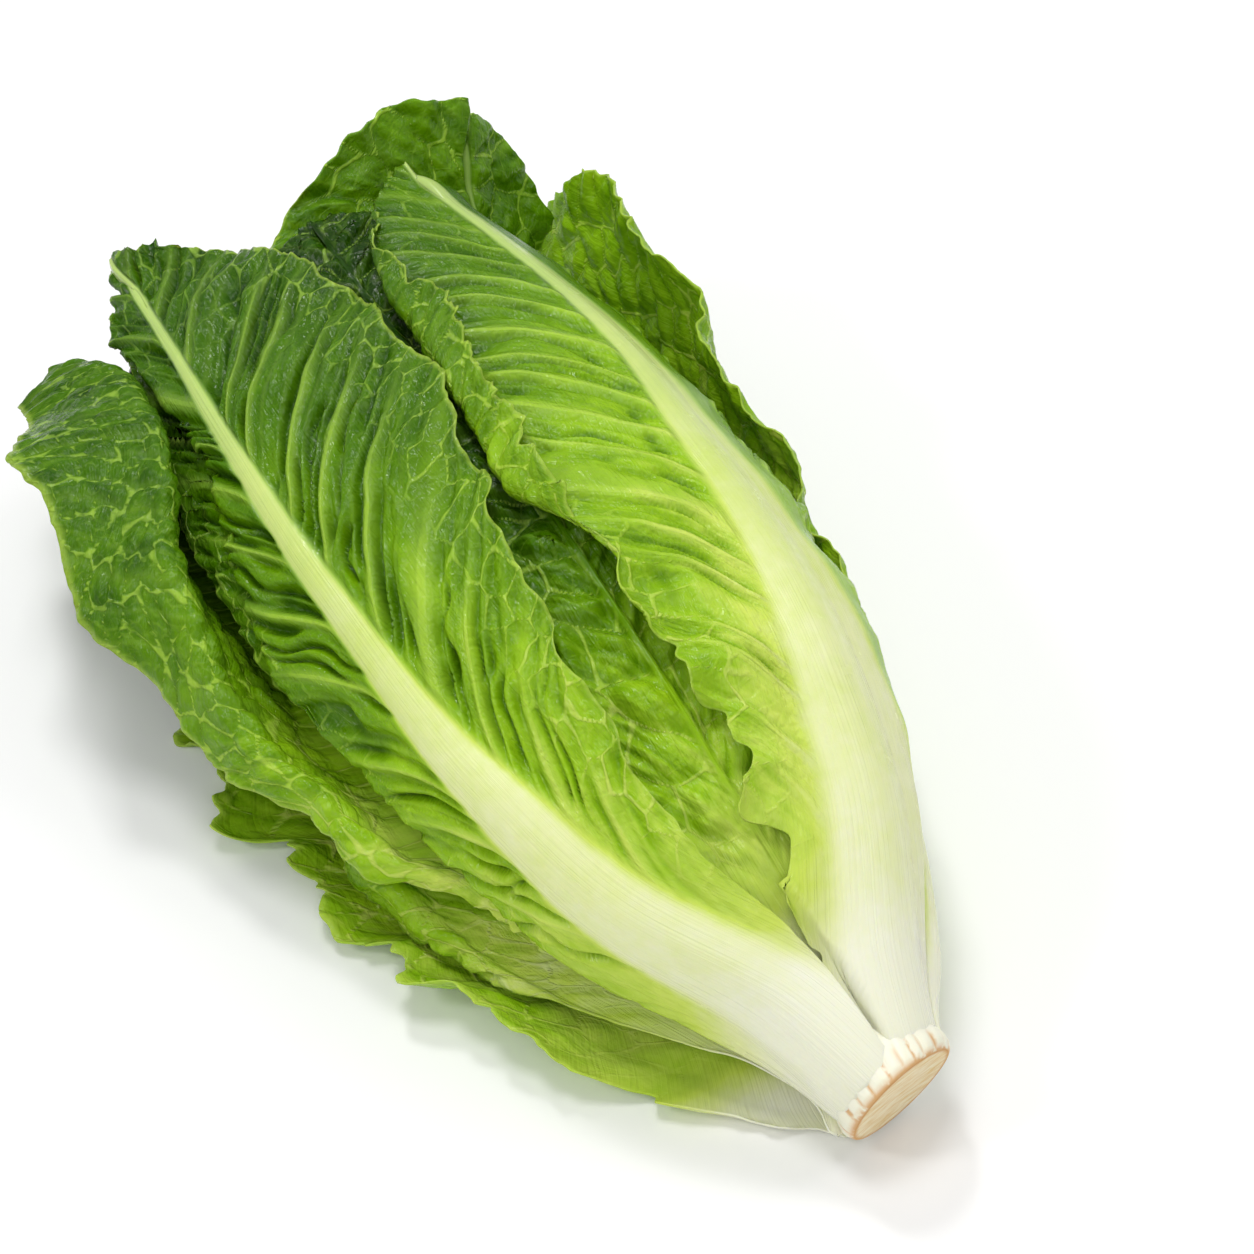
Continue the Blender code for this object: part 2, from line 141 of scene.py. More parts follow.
def ease(value: Grid, low: float, high: float) -> Grid:
    """Smooth step from 0 at low to 1 at high."""
    part = np.clip((value - low) / (high - low), 0.0, 1.0)
    return part * part * (3.0 - 2.0 * part)


def scatter(column: Grid, row: Grid, seed: float) -> Grid:
    """Repeatable numbers from 0 to 1 for whole grid places."""
    value = np.sin(column * 127.1 + row * 311.7 + seed * 74.7) * 43758.5453
    return value - np.floor(value)


def noise(x: Grid, y: Grid, seed: float) -> Grid:
    """Smooth random field with a cell size of 1.

    Args:
        x: places across.
        y: places along.
        seed: which field.

    Returns:
        A value from -1 to 1 at each place.
    """
    column, row = np.floor(x), np.floor(y)
    fx, fy = x - column, y - row
    fx, fy = fx * fx * (3.0 - 2.0 * fx), fy * fy * (3.0 - 2.0 * fy)
    low = scatter(column, row, seed) * (1.0 - fx) + scatter(column + 1, row, seed) * fx
    high = scatter(column, row + 1, seed) * (1.0 - fx) + scatter(column + 1, row + 1, seed) * fx
    return 2.0 * (low * (1.0 - fy) + high * fy) - 1.0


def cells(x: Grid, y: Grid, seed: float, jitter: float = 0.85) -> Grid:
    """Distances in a field of irregular cells with a cell size of 1.

    Args:
        x: places across.
        y: places along.
        seed: which field.
        jitter: how irregular the cells are.

    Returns:
        About the distance to the edge of the cell that each place is in.
    """
    column, row = np.floor(x), np.floor(y)
    first = np.full(np.shape(x), EMPTY)
    second = np.full(np.shape(x), EMPTY)
    for over in (-1, 0, 1):
        for up in (-1, 0, 1):
            cx, cy = column + over, row + up
            px = cx + 0.5 + jitter * (scatter(cx, cy, seed) - 0.5)
            py = cy + 0.5 + jitter * (scatter(cx, cy, seed + 3.3) - 0.5)
            away = np.hypot(x - px, y - py)
            second = np.minimum(second, np.maximum(first, away))
            first = np.minimum(first, away)
    return (second - first) / 2.0


def normals(points: Grid) -> Grid:
    """Unit normals of a grid of points, pointing out of the heart."""
    normal = np.cross(np.gradient(points, axis=0), np.gradient(points, axis=1))
    return normal / np.maximum(np.linalg.norm(normal, axis=-1, keepdims=True), 1e-9)


def shifted(grid: Grid, spread: int, gather: Callable[[list[Grid]], Grid]) -> Grid:
    """Gathers each grid place with its neighbours along and round the heart.

    Args:
        grid: values along and round.
        spread: how many places each way.
        gather: makes one grid of the moved copies.

    Returns:
        The gathered grid.
    """
    steps = range(-spread, spread + 1)
    grid = gather([np.roll(grid, step, axis=1) for step in steps])
    tall = np.pad(grid, ((spread, spread), (0, 0)), mode="edge")
    return gather([tall[spread + step : spread + step + ROWS] for step in steps])


@dataclass(frozen=True)
class Outside:
    """The heart's outside in mm, from the cut face to the leaf tips."""

    stations: Table = (0.0, 15.0, 35.0, 80.0, 120.0, 160.0, 200.0, 268.0)
    left: Table = (14.0, 19.5, 34.0, 53.0, 63.0, 70.0, 74.0, 73.0)
    right: Table = (14.0, 19.0, 30.0, 44.0, 51.0, 55.0, 55.0, 50.0)
    height: Table = (14.0, 17.0, 25.0, 36.0, 40.0, 40.0, 38.0, 34.0)

    def places(self) -> Grid:
        """Evenly spaced mm from the cut face to the tips."""
        return np.linspace(0.0, self.stations[-1], OUTSIDE_PLACES)

    def smoothed(self, values: Table) -> Grid:
        """The station values on an even table, with their corners rounded.

        Args:
            values: one value for each station.

        Returns:
            One value for each even place.
        """
        rough = np.interp(self.places(), self.stations, values)
        ends = np.pad(rough, OUTSIDE_BLUR, mode="reflect", reflect_type="odd")
        window = 2 * OUTSIDE_BLUR + 1
        return np.convolve(ends, np.full(window, 1.0 / window), mode="valid")

    def at(self, along: Grid, angle: Grid) -> tuple[Grid, Grid]:
        """Half width and half height of the heart.

        Args:
            along: mm from the cut face.
            angle: radians round the heart, 0 on top.

        Returns:
            The half width on that side and the half height.
        """
        tables = (self.left, self.right, self.height)
        left, right, high = (np.interp(along, self.places(), self.smoothed(table)) for table in tables)
        return np.where(np.sin(angle) > 0.0, left, right), high


OUTSIDE = Outside()


class Layers:
    """How far in the leaves laid so far reach, on a grid along and round the heart."""

    def __init__(self) -> None:
        """Starts with nothing laid."""
        self.inner = np.full((ROWS, COLUMNS), EMPTY)

    def at(self, along: Grid, angle: Grid) -> Grid:
        """The innermost layer used over each place.

        Args:
            along: mm from the cut face.
            angle: radians round the heart.

        Returns:
            The layer there, 1 on the heart's outside.
        """
        row = np.clip(along / ROW_STEP, 0.0, ROWS - 1.001)
        column = np.mod(angle / TURN * COLUMNS, COLUMNS)
        r, c = row.astype(int), column.astype(int) % COLUMNS
        fr, fc = row - r, column - column.astype(int)
        after = (c + 1) % COLUMNS
        low = self.inner[r, c] * (1.0 - fc) + self.inner[r, after] * fc
        high = self.inner[r + 1, c] * (1.0 - fc) + self.inner[r + 1, after] * fc
        return low * (1.0 - fr) + high * fr

    def cover(self, along: Grid, angle: Grid, layer: Grid) -> Layers:
        """A copy with one more leaf.

        Args:
            along: mm from the cut face of the leaf's points.
            angle: radians round the heart of the leaf's points.
            layer: the layer of the leaf's inner face there.

        Returns:
            The layers with the leaf added.
        """
        row = np.clip(np.rint(along / ROW_STEP).astype(int), 0, ROWS - 1)
        column = np.rint(angle / TURN * COLUMNS).astype(int) % COLUMNS
        mine = np.full((ROWS, COLUMNS), EMPTY)
        np.minimum.at(mine, (row, column), layer)
        covered = Layers()
        covered.inner = np.minimum(self.inner, shifted(mine, 1, np.minimum.reduce))
        return covered

    def softened(self) -> Layers:
        """The same layers without steps.

        Returns:
            Layers that are nowhere further out than these.
        """
        soft = Layers()
        low = shifted(np.minimum(self.inner, 1.5), 2, np.minimum.reduce)
        soft.inner = shifted(low, 2, lambda stack: sum(stack) / len(stack))
        return soft


@dataclass(frozen=True)
class Half:
    """One half of a blade, on the left or right of its rib as seen from outside, tip up.

    widths are mm from rib to margin, lifts are mm that the margin stands away, and flap is mm of
    margin folded back outwards, all from base to tip. fold is in degrees and roll is the fold's
    radius in mm. teeth and lobes are mm that the margin goes in and out.
    """

    widths: Table
    lifts: Table = (0.0, 0.0)
    flap: Optional[Table] = None
    fold: float = 150.0
    roll: float = 3.0
    teeth: float = 0.5
    lobes: float = 0.8
    lobe_size: float = 13.0
    frill: float = 0.6

    def margin_wave(self, run: Grid, seed: float) -> Grid:
        """The lobes and teeth of the margin.

        Args:
            run: mm along the leaf.
            seed: which random margin.

        Returns:
            mm that the margin goes out.
        """
        lobes = noise(run / self.lobe_size, 0.0 * run, seed) * self.lobes
        teeth = noise(run / 2.6, 0.0 * run, seed + 5.0) * self.teeth
        return lobes + teeth

    def section(
        self, share: Grid, place: Grid, scale: Grid, run: Grid, seed: float
    ) -> tuple[Grid, ...]:
        """Where the blade's points lie beside the rib.

        Args:
            share: share of the way from rib to margin.
            place: share of the way from base to tip.
            scale: how much the width is narrowed there.
            run: mm along the leaf.
            seed: which random margin.

        Returns:
            mm along the layer, mm past the fold, mm out of the layer, mm into it, and mm from
            the rib on the flat blade.
        """
        full = curve(self.widths, place) * scale
        hinge = full
        if self.flap is not None:
            hinge = full - np.clip(curve(self.flap, place) * scale, 0.0, 0.7 * full)
        reach = full * share**1.1
        reach = reach + share**4 * self.margin_wave(run, seed) * np.minimum(full / 20.0, 1.0)
        lift = curve(self.lifts, place) * np.minimum(reach / np.maximum(hinge, 0.1), 1.0) ** 2
        sink, lift = np.minimum(lift, 0.0), np.maximum(lift, 0.0)
        if self.flap is None:
            return reach, np.zeros_like(full), lift, sink, reach
        turn_most = math.radians(self.fold)
        past = np.maximum(reach - hinge, 0.0)
        turn = np.minimum(past / self.roll, turn_most)
        straight = np.maximum(past - self.roll * turn_most, 0.0)
        back = self.roll * np.sin(turn) + straight * math.cos(turn_most)
        rise = self.roll * (1.0 - np.cos(turn)) + straight * math.sin(turn_most)
        return np.minimum(reach, hinge), back, lift + rise, sink, reach


@dataclass(frozen=True)
class Veins:
    """The side veins, puckers and blisters of a leaf, in mm.

    pitch is the space between side veins along the rib. lean is how far a vein runs tipwards for
    each mm across, from base to tip, and lean_right times that on the right half. bend is how
    much it curves, and sweep how far it first runs beside the rib. ridge, pucker and blister are
    heights, and the sizes are widths. net_from is the share of the half blade where the side
    veins give way to a net, and swell is the way that blisters stand.
    """

    pitch: float = 21.0
    lean: Table = (2.2, 1.25, 1.0, 0.75)
    lean_right: float = 1.0
    bend: float = 0.006
    sweep: float = 5.0
    ridge: float = 0.9
    pucker: float = 1.8
    pucker_size: float = 4.4
    blister: float = 0.9
    blister_size: float = 7.0
    net_from: float = 0.5
    swell: Seen = Seen.INWARDS


@dataclass
class Surface:
    """What is known at each grid point of a leaf's blade, in mm and shares.

    point is its middle, along and angle its place on the heart, inner the layer of its inner
    face, rib and relief what they add, beside the distance from the rib, and place and margin
    shares from base to tip and from rib to margin. marks are what the finish reads.
    """

    point: Grid
    along: Grid
    angle: Grid
    inner: Grid
    rib: Grid
    relief: Grid
    beside: Grid
    place: Grid
    margin: Grid
    marks: dict[str, Grid] = field(default_factory=dict)


@dataclass
class Leaf:
    """One leaf, drawn in coordinates wrapped round the heart.

    span is mm along the heart, angles are degrees round it, layers say how far out the blade
    is, rib is (mm thicker, half widths), ruffle is (mm, waves, start), cells are grid cells
    across and along, and curl is (mm where the tip bends up, radius, degrees). tip_start is the
    share from which the tip is rounded, and seed says which random margin and relief.

    pale_rib is how much of the rib's width is pale, pale_right how many times that on the right
    half, calm the mm beside the rib on the right that stay smooth, soft how much the blade
    billows, and foot the mm that its base is drawn down over the stem's neck. over is what was
    laid outside the leaf.
    """

    name: str
    span: tuple[float, float]
    angles: Table
    layers: Table
    left: Half
    right: Half
    rib: tuple[Table, Table]
    ruffle: tuple[float, float, float]
    cells: tuple[int, int]
    tone: Tone
    veins: Veins = Veins()
    curl: Optional[tuple[float, float, float]] = None
    tip_start: float = TIP_START
    seed: float = 1.0
    pale_rib: float = 0.66
    pale_right: float = 1.0
    calm: float = 0.0
    soft: float = 1.0
    foot: float = 0.0
    over: Layers = field(default_factory=Layers)

    def rib_height(self, place: Grid, beside: Grid) -> Grid:
        """mm that the rib adds to the thickness at a distance beside its middle."""
        half = curve(self.rib[1], place)
        return curve(self.rib[0], place) * np.clip(1.0 - (beside / half) ** 2, 0.0, 1.0) ** 1.5

    def wave(self, place: Grid, margin: Grid, v: Grid, is_left: Grid) -> Grid:
        """The ruffle of the margin and the tip.

        Args:
            place: share of the way from base to tip.
            margin: share of the way from rib to margin.
            v: 0 at the base, 1 at the tip, before the tip is rounded.
            is_left: whether a point is on the left half.

        Returns:
            mm outwards.
        """
        size, count, start = self.ruffle
        shift = np.where(is_left, 0.0, 1.9)
        wave = np.sin(TURN * count * place + start + shift)
        wave = wave + 0.45 * np.sin(TURN * 1.7 * count * place + 2.0 * start - shift)
        edge = np.maximum(margin**2.2, np.clip((v - 0.88) / 0.12, 0.0, 1.0) ** 2)
        return size * wave * edge * np.clip((place - 0.1) / 0.3, 0.0, 1.0)

    def curled(self, point: Grid) -> Grid:
        """Bends the leaf's tip upwards.

        Args:
            point: mm from the stem's axis and cut face.

        Returns:
            The points with the tip bent, or as they were where the leaf has no curl.
        """
        if self.curl is None:
            return point
        start, radius, degrees = self.curl
        most = math.radians(degrees)
        past = np.maximum(point[..., 1] - start, 0.0)
        turn = np.minimum(past / radius, most)
        straight = np.maximum(past - radius * most, 0.0)
        rise = radius * (1.0 - np.cos(turn)) + straight * math.sin(most)
        bent = point.copy()
        reach = radius * np.sin(turn) + straight * math.cos(most)
        bent[..., 1] = np.minimum(point[..., 1], start) + reach
        bent[..., 2] = point[..., 2] + rise
        bent[..., 0] = point[..., 0] * (1.0 + FAN * rise)
        return bent

    def drawn(
        self, beside: Grid, place: Grid, margin: Grid, is_left: Grid
    ) -> tuple[Grid, dict[str, Grid]]:
        """The blade's relief and what its finish reads.

        Args:
            beside: mm from the rib on the flat blade.
            place: share of the way from base to tip.
            margin: share of the way from rib to margin.
            is_left: whether a point is on the left half.

        Returns:
            mm of relief outwards, and the named values for the finish.
        """
        # Places on the blade, counted in side veins from the base.
        veins = self.veins
        run = place * (self.span[1] - self.span[0])
        sign = np.where(is_left, -1.0, 1.0)
        half = curve(self.rib[1], place)
        pale = self.pale_rib * half * curve(PALE_SHARE, place)
        pale = pale * np.where(is_left, 1.0, self.pale_right)
        wobble = 2.0 * noise(beside / 16.0 + 7.0 * sign, run / 22.0, self.seed)
        wobble = wobble + 0.7 * noise(beside / 6.0 + 3.0 * sign, run / 8.0, self.seed + 1.0)
        lean = curve(veins.lean, place) * np.where(is_left, 1.0, veins.lean_right)
        leaving = veins.sweep * np.exp(-np.maximum(beside - pale, 0.0) / 6.0)
        lateral = (run - lean * beside - veins.bend * beside**2 + leaving + wobble) / veins.pitch
        uneven = 0.28 * noise(lateral * 1.1, 0.0 * run, self.seed + 2.0)
        lateral = lateral + np.where(is_left, 0.37, 0.0) + uneven
        spacing = veins.pitch / np.sqrt(1.0 + (lean + 2.0 * veins.bend * beside) ** 2)
        off_rib = ease(beside - np.where(is_left, 0.0, self.calm), 0.8 * pale, 1.5 * pale + 1.4)
        fresh = ease(run, 12.0, 55.0)
        netted = np.maximum(margin, 0.45 + 0.62 * (place - 0.5))
        netted = ease(netted, veins.net_from - 0.12, veins.net_from + 0.22)
        middle = off_rib * fresh * (1.0 - 0.65 * netted)

        # Side veins, with two finer ones between each pair.
        away = np.abs(lateral - np.rint(lateral)) * spacing
        width = 2.1 - 1.3 * margin
        near_third = np.abs(3.0 * lateral - np.rint(3.0 * lateral)) * spacing / 3.0
        finer = 0.3 * np.exp(-((near_third / 0.9) ** 2)) * ease(margin, 0.05, 0.3)
        ridge = np.maximum(np.exp(-((away / width) ** 2)), finer)
        ridge = veins.ridge * ridge * off_rib * (0.3 + 0.7 * fresh) * (1.0 - 0.6 * netted)

        # Puckers between the side veins.
        drift = 0.7 * noise(beside / 8.0 + 5.0 * sign, run / 10.0, self.seed + 3.0)
        fold = noise(lateral * veins.pitch / veins.pucker_size * 0.75 + drift,
                     beside / (4.5 * veins.pucker_size) + 31.0 * sign, self.seed + 4.0)
        fine = noise(lateral * veins.pitch / veins.pucker_size * 1.7 + drift,
                     beside / (3.0 * veins.pucker_size) + 11.0 * sign, self.seed + 5.0)
        between_veins = ease(away, 0.6, 2.6) * (0.35 + 0.65 * ease(near_third, 0.2, 1.2))
        bulge_and_highlight = ease(np.abs(fold), 0.0, 0.75) ** 0.8
        pucker = veins.pucker * (bulge_and_highlight - 0.75) * between_veins * middle
        pucker = pucker + 0.20 * veins.pucker * (np.abs(fine) - 0.35) * between_veins * middle

        # Blisters inside the net.
        size = veins.blister_size
        bent = 1.2 * noise(beside / 5.0, run / 5.0, self.seed + 12.0)
        across, along = sign * beside + bent, run - 0.5 * beside + bent
        edge = cells(across / size + 40.0, along / size, self.seed + 6.0)
        small = 0.45 * size
        small_edge = cells(sign * beside / small, run / small, self.seed + 8.0)
        quilted = netted * off_rib * fresh
        blister = (1.0 - np.exp(-((edge / 0.24) ** 2))) - 0.5 + 0.22 * ease(small_edge, 0.0, 0.4)
        blister = veins.swell.value * veins.blister * blister * quilted

        # Frills of the margin, and slow waves of the whole blade.
        waves = noise(run / 7.0, beside / 30.0 + 9.0 * sign, self.seed + 9.0)
        frill = np.where(is_left, self.left.frill, self.right.frill) * waves * margin**3.5
        frill = frill * (1.0 - 0.8 * ease(place, 0.45, 0.62))
        billow = 0.9 * noise(sign * beside / 15.0 + 60.0, run / 20.0, self.seed + 10.0)
        billow = billow * off_rib * fresh
        relief = ridge + pucker + blister + frill + billow * self.soft

        # How green each place is.
        blade, side = (curve(table, place) for table in self.tone.value)
        blade = blade + side * ease(margin, 0.15, 0.95)
        rib_tone = np.minimum(curve(RIB_TONE, place), blade)
        on_rib = 1.0 - ease(beside, 0.75 * pale, 1.15 * pale + 0.6)
        on_rib = on_rib * min(self.pale_rib * 4.0, 1.0)
        green = blade + (rib_tone - blade) * on_rib
        marks = {
            "green": green * ease(run, 2.0, 22.0),
            "lateral": lateral,
            "spacing": spacing,
            "off_rib": off_rib,
            "on_rib": on_rib * ease(place, 0.25, 0.6),
            "net": edge * size,
            "small_net": small_edge * small,
            "quilted": quilted,
            # Painted shade: the creases of the puckers, which the finish darkens.
            "scar_and_crease_shade": (1.0 - ease(np.abs(fold), 0.02, 0.26)) * between_veins * middle,
            # Painted highlight: the tops of the puckers, which the finish lightens.
            "bulge_and_highlight": bulge_and_highlight * between_veins * middle,
            "third": near_third,
            "rim": margin,
            "beside": sign * beside,
            "run": run,
            "fresh": fresh,
        }
        return relief, marks

    def surface(self, u: Grid, v: Grid) -> Surface:
        """The blade's middle at grid places.

        Args:
            u: -1 at the left margin, 0 at the rib, 1 at the right margin.
            v: 0 at the base, 1 at the tip.

        Returns:
            What is known at each place.
        """
        start = self.tip_start
        tip = np.clip((v - start) / (1.0 - start), 0.0, 1.0)
        length = self.span[1] - self.span[0]
        end = start + (1.0 - start) * tip * np.sqrt(1.0 - u * u / 2.0)
        teeth = noise(u * 9.0, 0.0 * u, self.seed + 1.0) * 1.2
        teeth = teeth + noise(u * 26.0, 0.0 * u, self.seed + 2.0) * 0.5
        place = np.where(v < start, v, end + tip**4 * teeth / length)
        scale = np.sqrt(1.0 - tip * tip / 2.0)
        along = self.span[0] + length * place - self.foot * (1.0 - ease(place, -0.03, 0.05))
        rib_angle = np.radians(curve(self.angles, place))
        layer = curve(self.layers, place)
        width, height = OUTSIDE.at(along, rib_angle)
        radius = np.maximum(layer * np.sqrt((width**2 + height**2) / 2.0), 4.0)
        is_left = u < 0.0
        left = self.left.section(-u * is_left, place, scale, along, self.seed)
        right = self.right.section(u * ~is_left, place, scale, along, self.seed + 11.0)
        reach, back, lift, sink, beside = (np.where(is_left, a, b) for a, b in zip(left, right))
        margin = np.abs(u)
        turn = np.where(is_left, 1.0, -1.0)
        angle = rib_angle + turn * reach / radius
        width, height = OUTSIDE.at(along, angle)
        sine, cosine = np.sin(angle), np.cos(angle)
        size = np.sqrt((height * sine) ** 2 + (width * cosine) ** 2)
        depth = width * height / size
        relief, marks = self.drawn(beside, place, margin, is_left)
        rib = self.rib_height(place, beside) * ease(place, -0.015, 0.05)
        wave = self.wave(place, margin, v, is_left)
        space = GAP + BLADE / 2.0 + OUTWARD_SHARE * rib + np.maximum(relief, 0.0)
        limit = self.over.at(along, angle) - space / depth
        flat = (height - BLADE / 2.0) / (height * np.maximum(-cosine, 0.01))
        layer = np.maximum(np.minimum(np.minimum(layer + (wave + sink) / depth, limit), flat), 0.03)
        side = turn * back
        across, down = width * cosine / size, height * sine / size
        x = -layer * width * sine - across * side - down * lift
        z = height + layer * height * cosine - down * side + across * lift
        point = np.stack([x, along, np.maximum(z, BLADE / 2.0)], axis=-1)
        below = BLADE / 2.0 + (1.0 - OUTWARD_SHARE) * rib + np.maximum(-relief, 0.0)
        inner = layer - below / depth
        slant = STEM_SLANT_ACROSS * x + STEM_SLANT_UP * (z - height)
        point[..., 1] += slant * (1.0 - ease(along, 2.0, 24.0)) * (self.foot > 0.0)
        point = self.curled(point)
        return Surface(point, along, angle, inner, rib, relief, beside, place, margin, marks)

    def lay(self, layers: Layers) -> Layers:
        """Lays the leaf inside the ones laid before.

        Args:
            layers: how far in those leaves reach.

        Returns:
            The layers with this leaf added.
        """
        self.over = layers.softened()
        found = self.surface(*places(48, 96))
        return layers.cover(found.along, found.angle, found.inner)

    def faces(self, found: Surface) -> tuple[Grid, Grid]:
        """The two faces of the blade.

        Args:
            found: what is known at each grid point.

        Returns:
            The inner and the outer face, as grids of points in mm.
        """
        out = normals(found.point)
        thick = MARGIN_BLADE + (BLADE - MARGIN_BLADE) * (1.0 - ease(found.margin, 0.8, 1.0))
        above = found.relief + thick / 2.0 + OUTWARD_SHARE * found.rib
        below = found.relief - thick / 2.0 - (1.0 - OUTWARD_SHARE) * found.rib
        outer = found.point + out * above[..., None]
        inner = found.point + out * below[..., None]
        outer[..., 2] = np.maximum(outer[..., 2], 0.0)
        inner[..., 2] = np.maximum(inner[..., 2], 0.05)
        return inner, outer

    def build(self) -> bpy.types.Object:
        """Makes one closed thin solid: a flat grid gets a second face, and both are moved.

        Returns:
            The leaf as an object.
        """
        across, along = self.cells
        sheet = bmesh.new()
        bmesh.ops.create_grid(sheet, x_segments=across, y_segments=along, size=1.0)
        made = bmesh.ops.extrude_face_region(sheet, geom=sheet.faces[:], use_keep_orig=True)
        top = [item for item in made["geom"] if isinstance(item, bmesh.types.BMVert)]
        bmesh.ops.translate(sheet, verts=top, vec=(0.0, 0.0, 1.0))
        bmesh.ops.recalc_face_normals(sheet, faces=sheet.faces[:])
        mesh = bpy.data.meshes.new("fine_" + self.name)
        sheet.to_mesh(mesh)
        sheet.free()
        flat = coordinates(mesh)
        i = np.rint((flat[:, 0] + 1.0) / 2.0 * across).astype(int)
        j = np.rint((flat[:, 1] + 1.0) / 2.0 * along).astype(int)
        is_outer = flat[:, 2] > 0.5
        found = self.surface(*places(across, along))
        inner, outer = self.faces(found)
        mark(mesh, "inside", np.where(is_outer, 0.0, 1.0))
        for name, values in found.marks.items():
            mark(mesh, name, values[i, j])
        return finished(mesh, np.where(is_outer[:, None], outer[i, j], inner[i, j]))


def places(across: int, along: int) -> tuple[Grid, Grid]:
    """Grid places u from -1 (left margin) to 1 (right margin) and v from 0 (base) to 1 (tip)."""
    u, v = np.linspace(-1.0, 1.0, across + 1), np.linspace(0.0, 1.0, along + 1)
    return tuple(np.meshgrid(u, v, indexing="ij"))


def mark(mesh: bpy.types.Mesh, name: str, values: Grid) -> None:
    """Keeps one number for each vertex, for the finish to read."""
    kept = mesh.attributes.new(name, "FLOAT", "POINT")
    kept.data.foreach_set("value", np.asarray(values, np.float32).ravel())


def coordinates(mesh: bpy.types.Mesh) -> Grid:
    """Reads where a mesh's vertices are.

    Args:
        mesh: the mesh.

    Returns:
        One row of x, y and z for each vertex.
    """
    flat = np.zeros(len(mesh.vertices) * 3, np.float32)
    mesh.vertices.foreach_get("co", flat)
    return flat.reshape(-1, 3)


def signed_volume(mesh: bpy.types.Mesh) -> float:
    """Tells whether a closed mesh is inside out.

    Args:
        mesh: the closed mesh.

    Returns:
        Six times the volume inside it, negative if its faces point inwards.
    """
    mesh.calc_loop_triangles()
    corners = np.zeros(len(mesh.loop_triangles) * 3, np.int32)
    mesh.loop_triangles.foreach_get("vertices", corners)
    a, b, c = (coordinates(mesh)[corners.reshape(-1, 3)[:, k]] for k in range(3))
    return float(np.einsum("ij,ij->", a, np.cross(b, c)))


def linked(name: str, data: bpy.types.ID) -> bpy.types.Object:
    """A new object in the scene.

    Args:
        name: the object's name.
        data: its mesh, camera or lamp.

    Returns:
        The object, at the origin.
    """
    thing = bpy.data.objects.new(name, data)
    bpy.context.scene.collection.objects.link(thing)
    return thing


def finished(mesh: bpy.types.Mesh, point: Grid) -> bpy.types.Object:
    """Moves a closed mesh to its place on the heart, smooth and with its faces outwards.

    Args:
        mesh: the mesh, as a bmesh left it.
        point: mm from the stem's axis and cut face, one row for each vertex.

    Returns:
        The piece as an object with the mesh's name.
    """
    point = (point - (ORIGIN_ACROSS, ORIGIN_ALONG, 0.0)) * MM
    mesh.vertices.foreach_set("co", point.astype(np.float32).ravel())
    mesh.update()
    if signed_volume(mesh) < 0.0:
        mesh.flip_normals()
    mesh.shade_smooth()
    return linked(mesh.name, mesh)


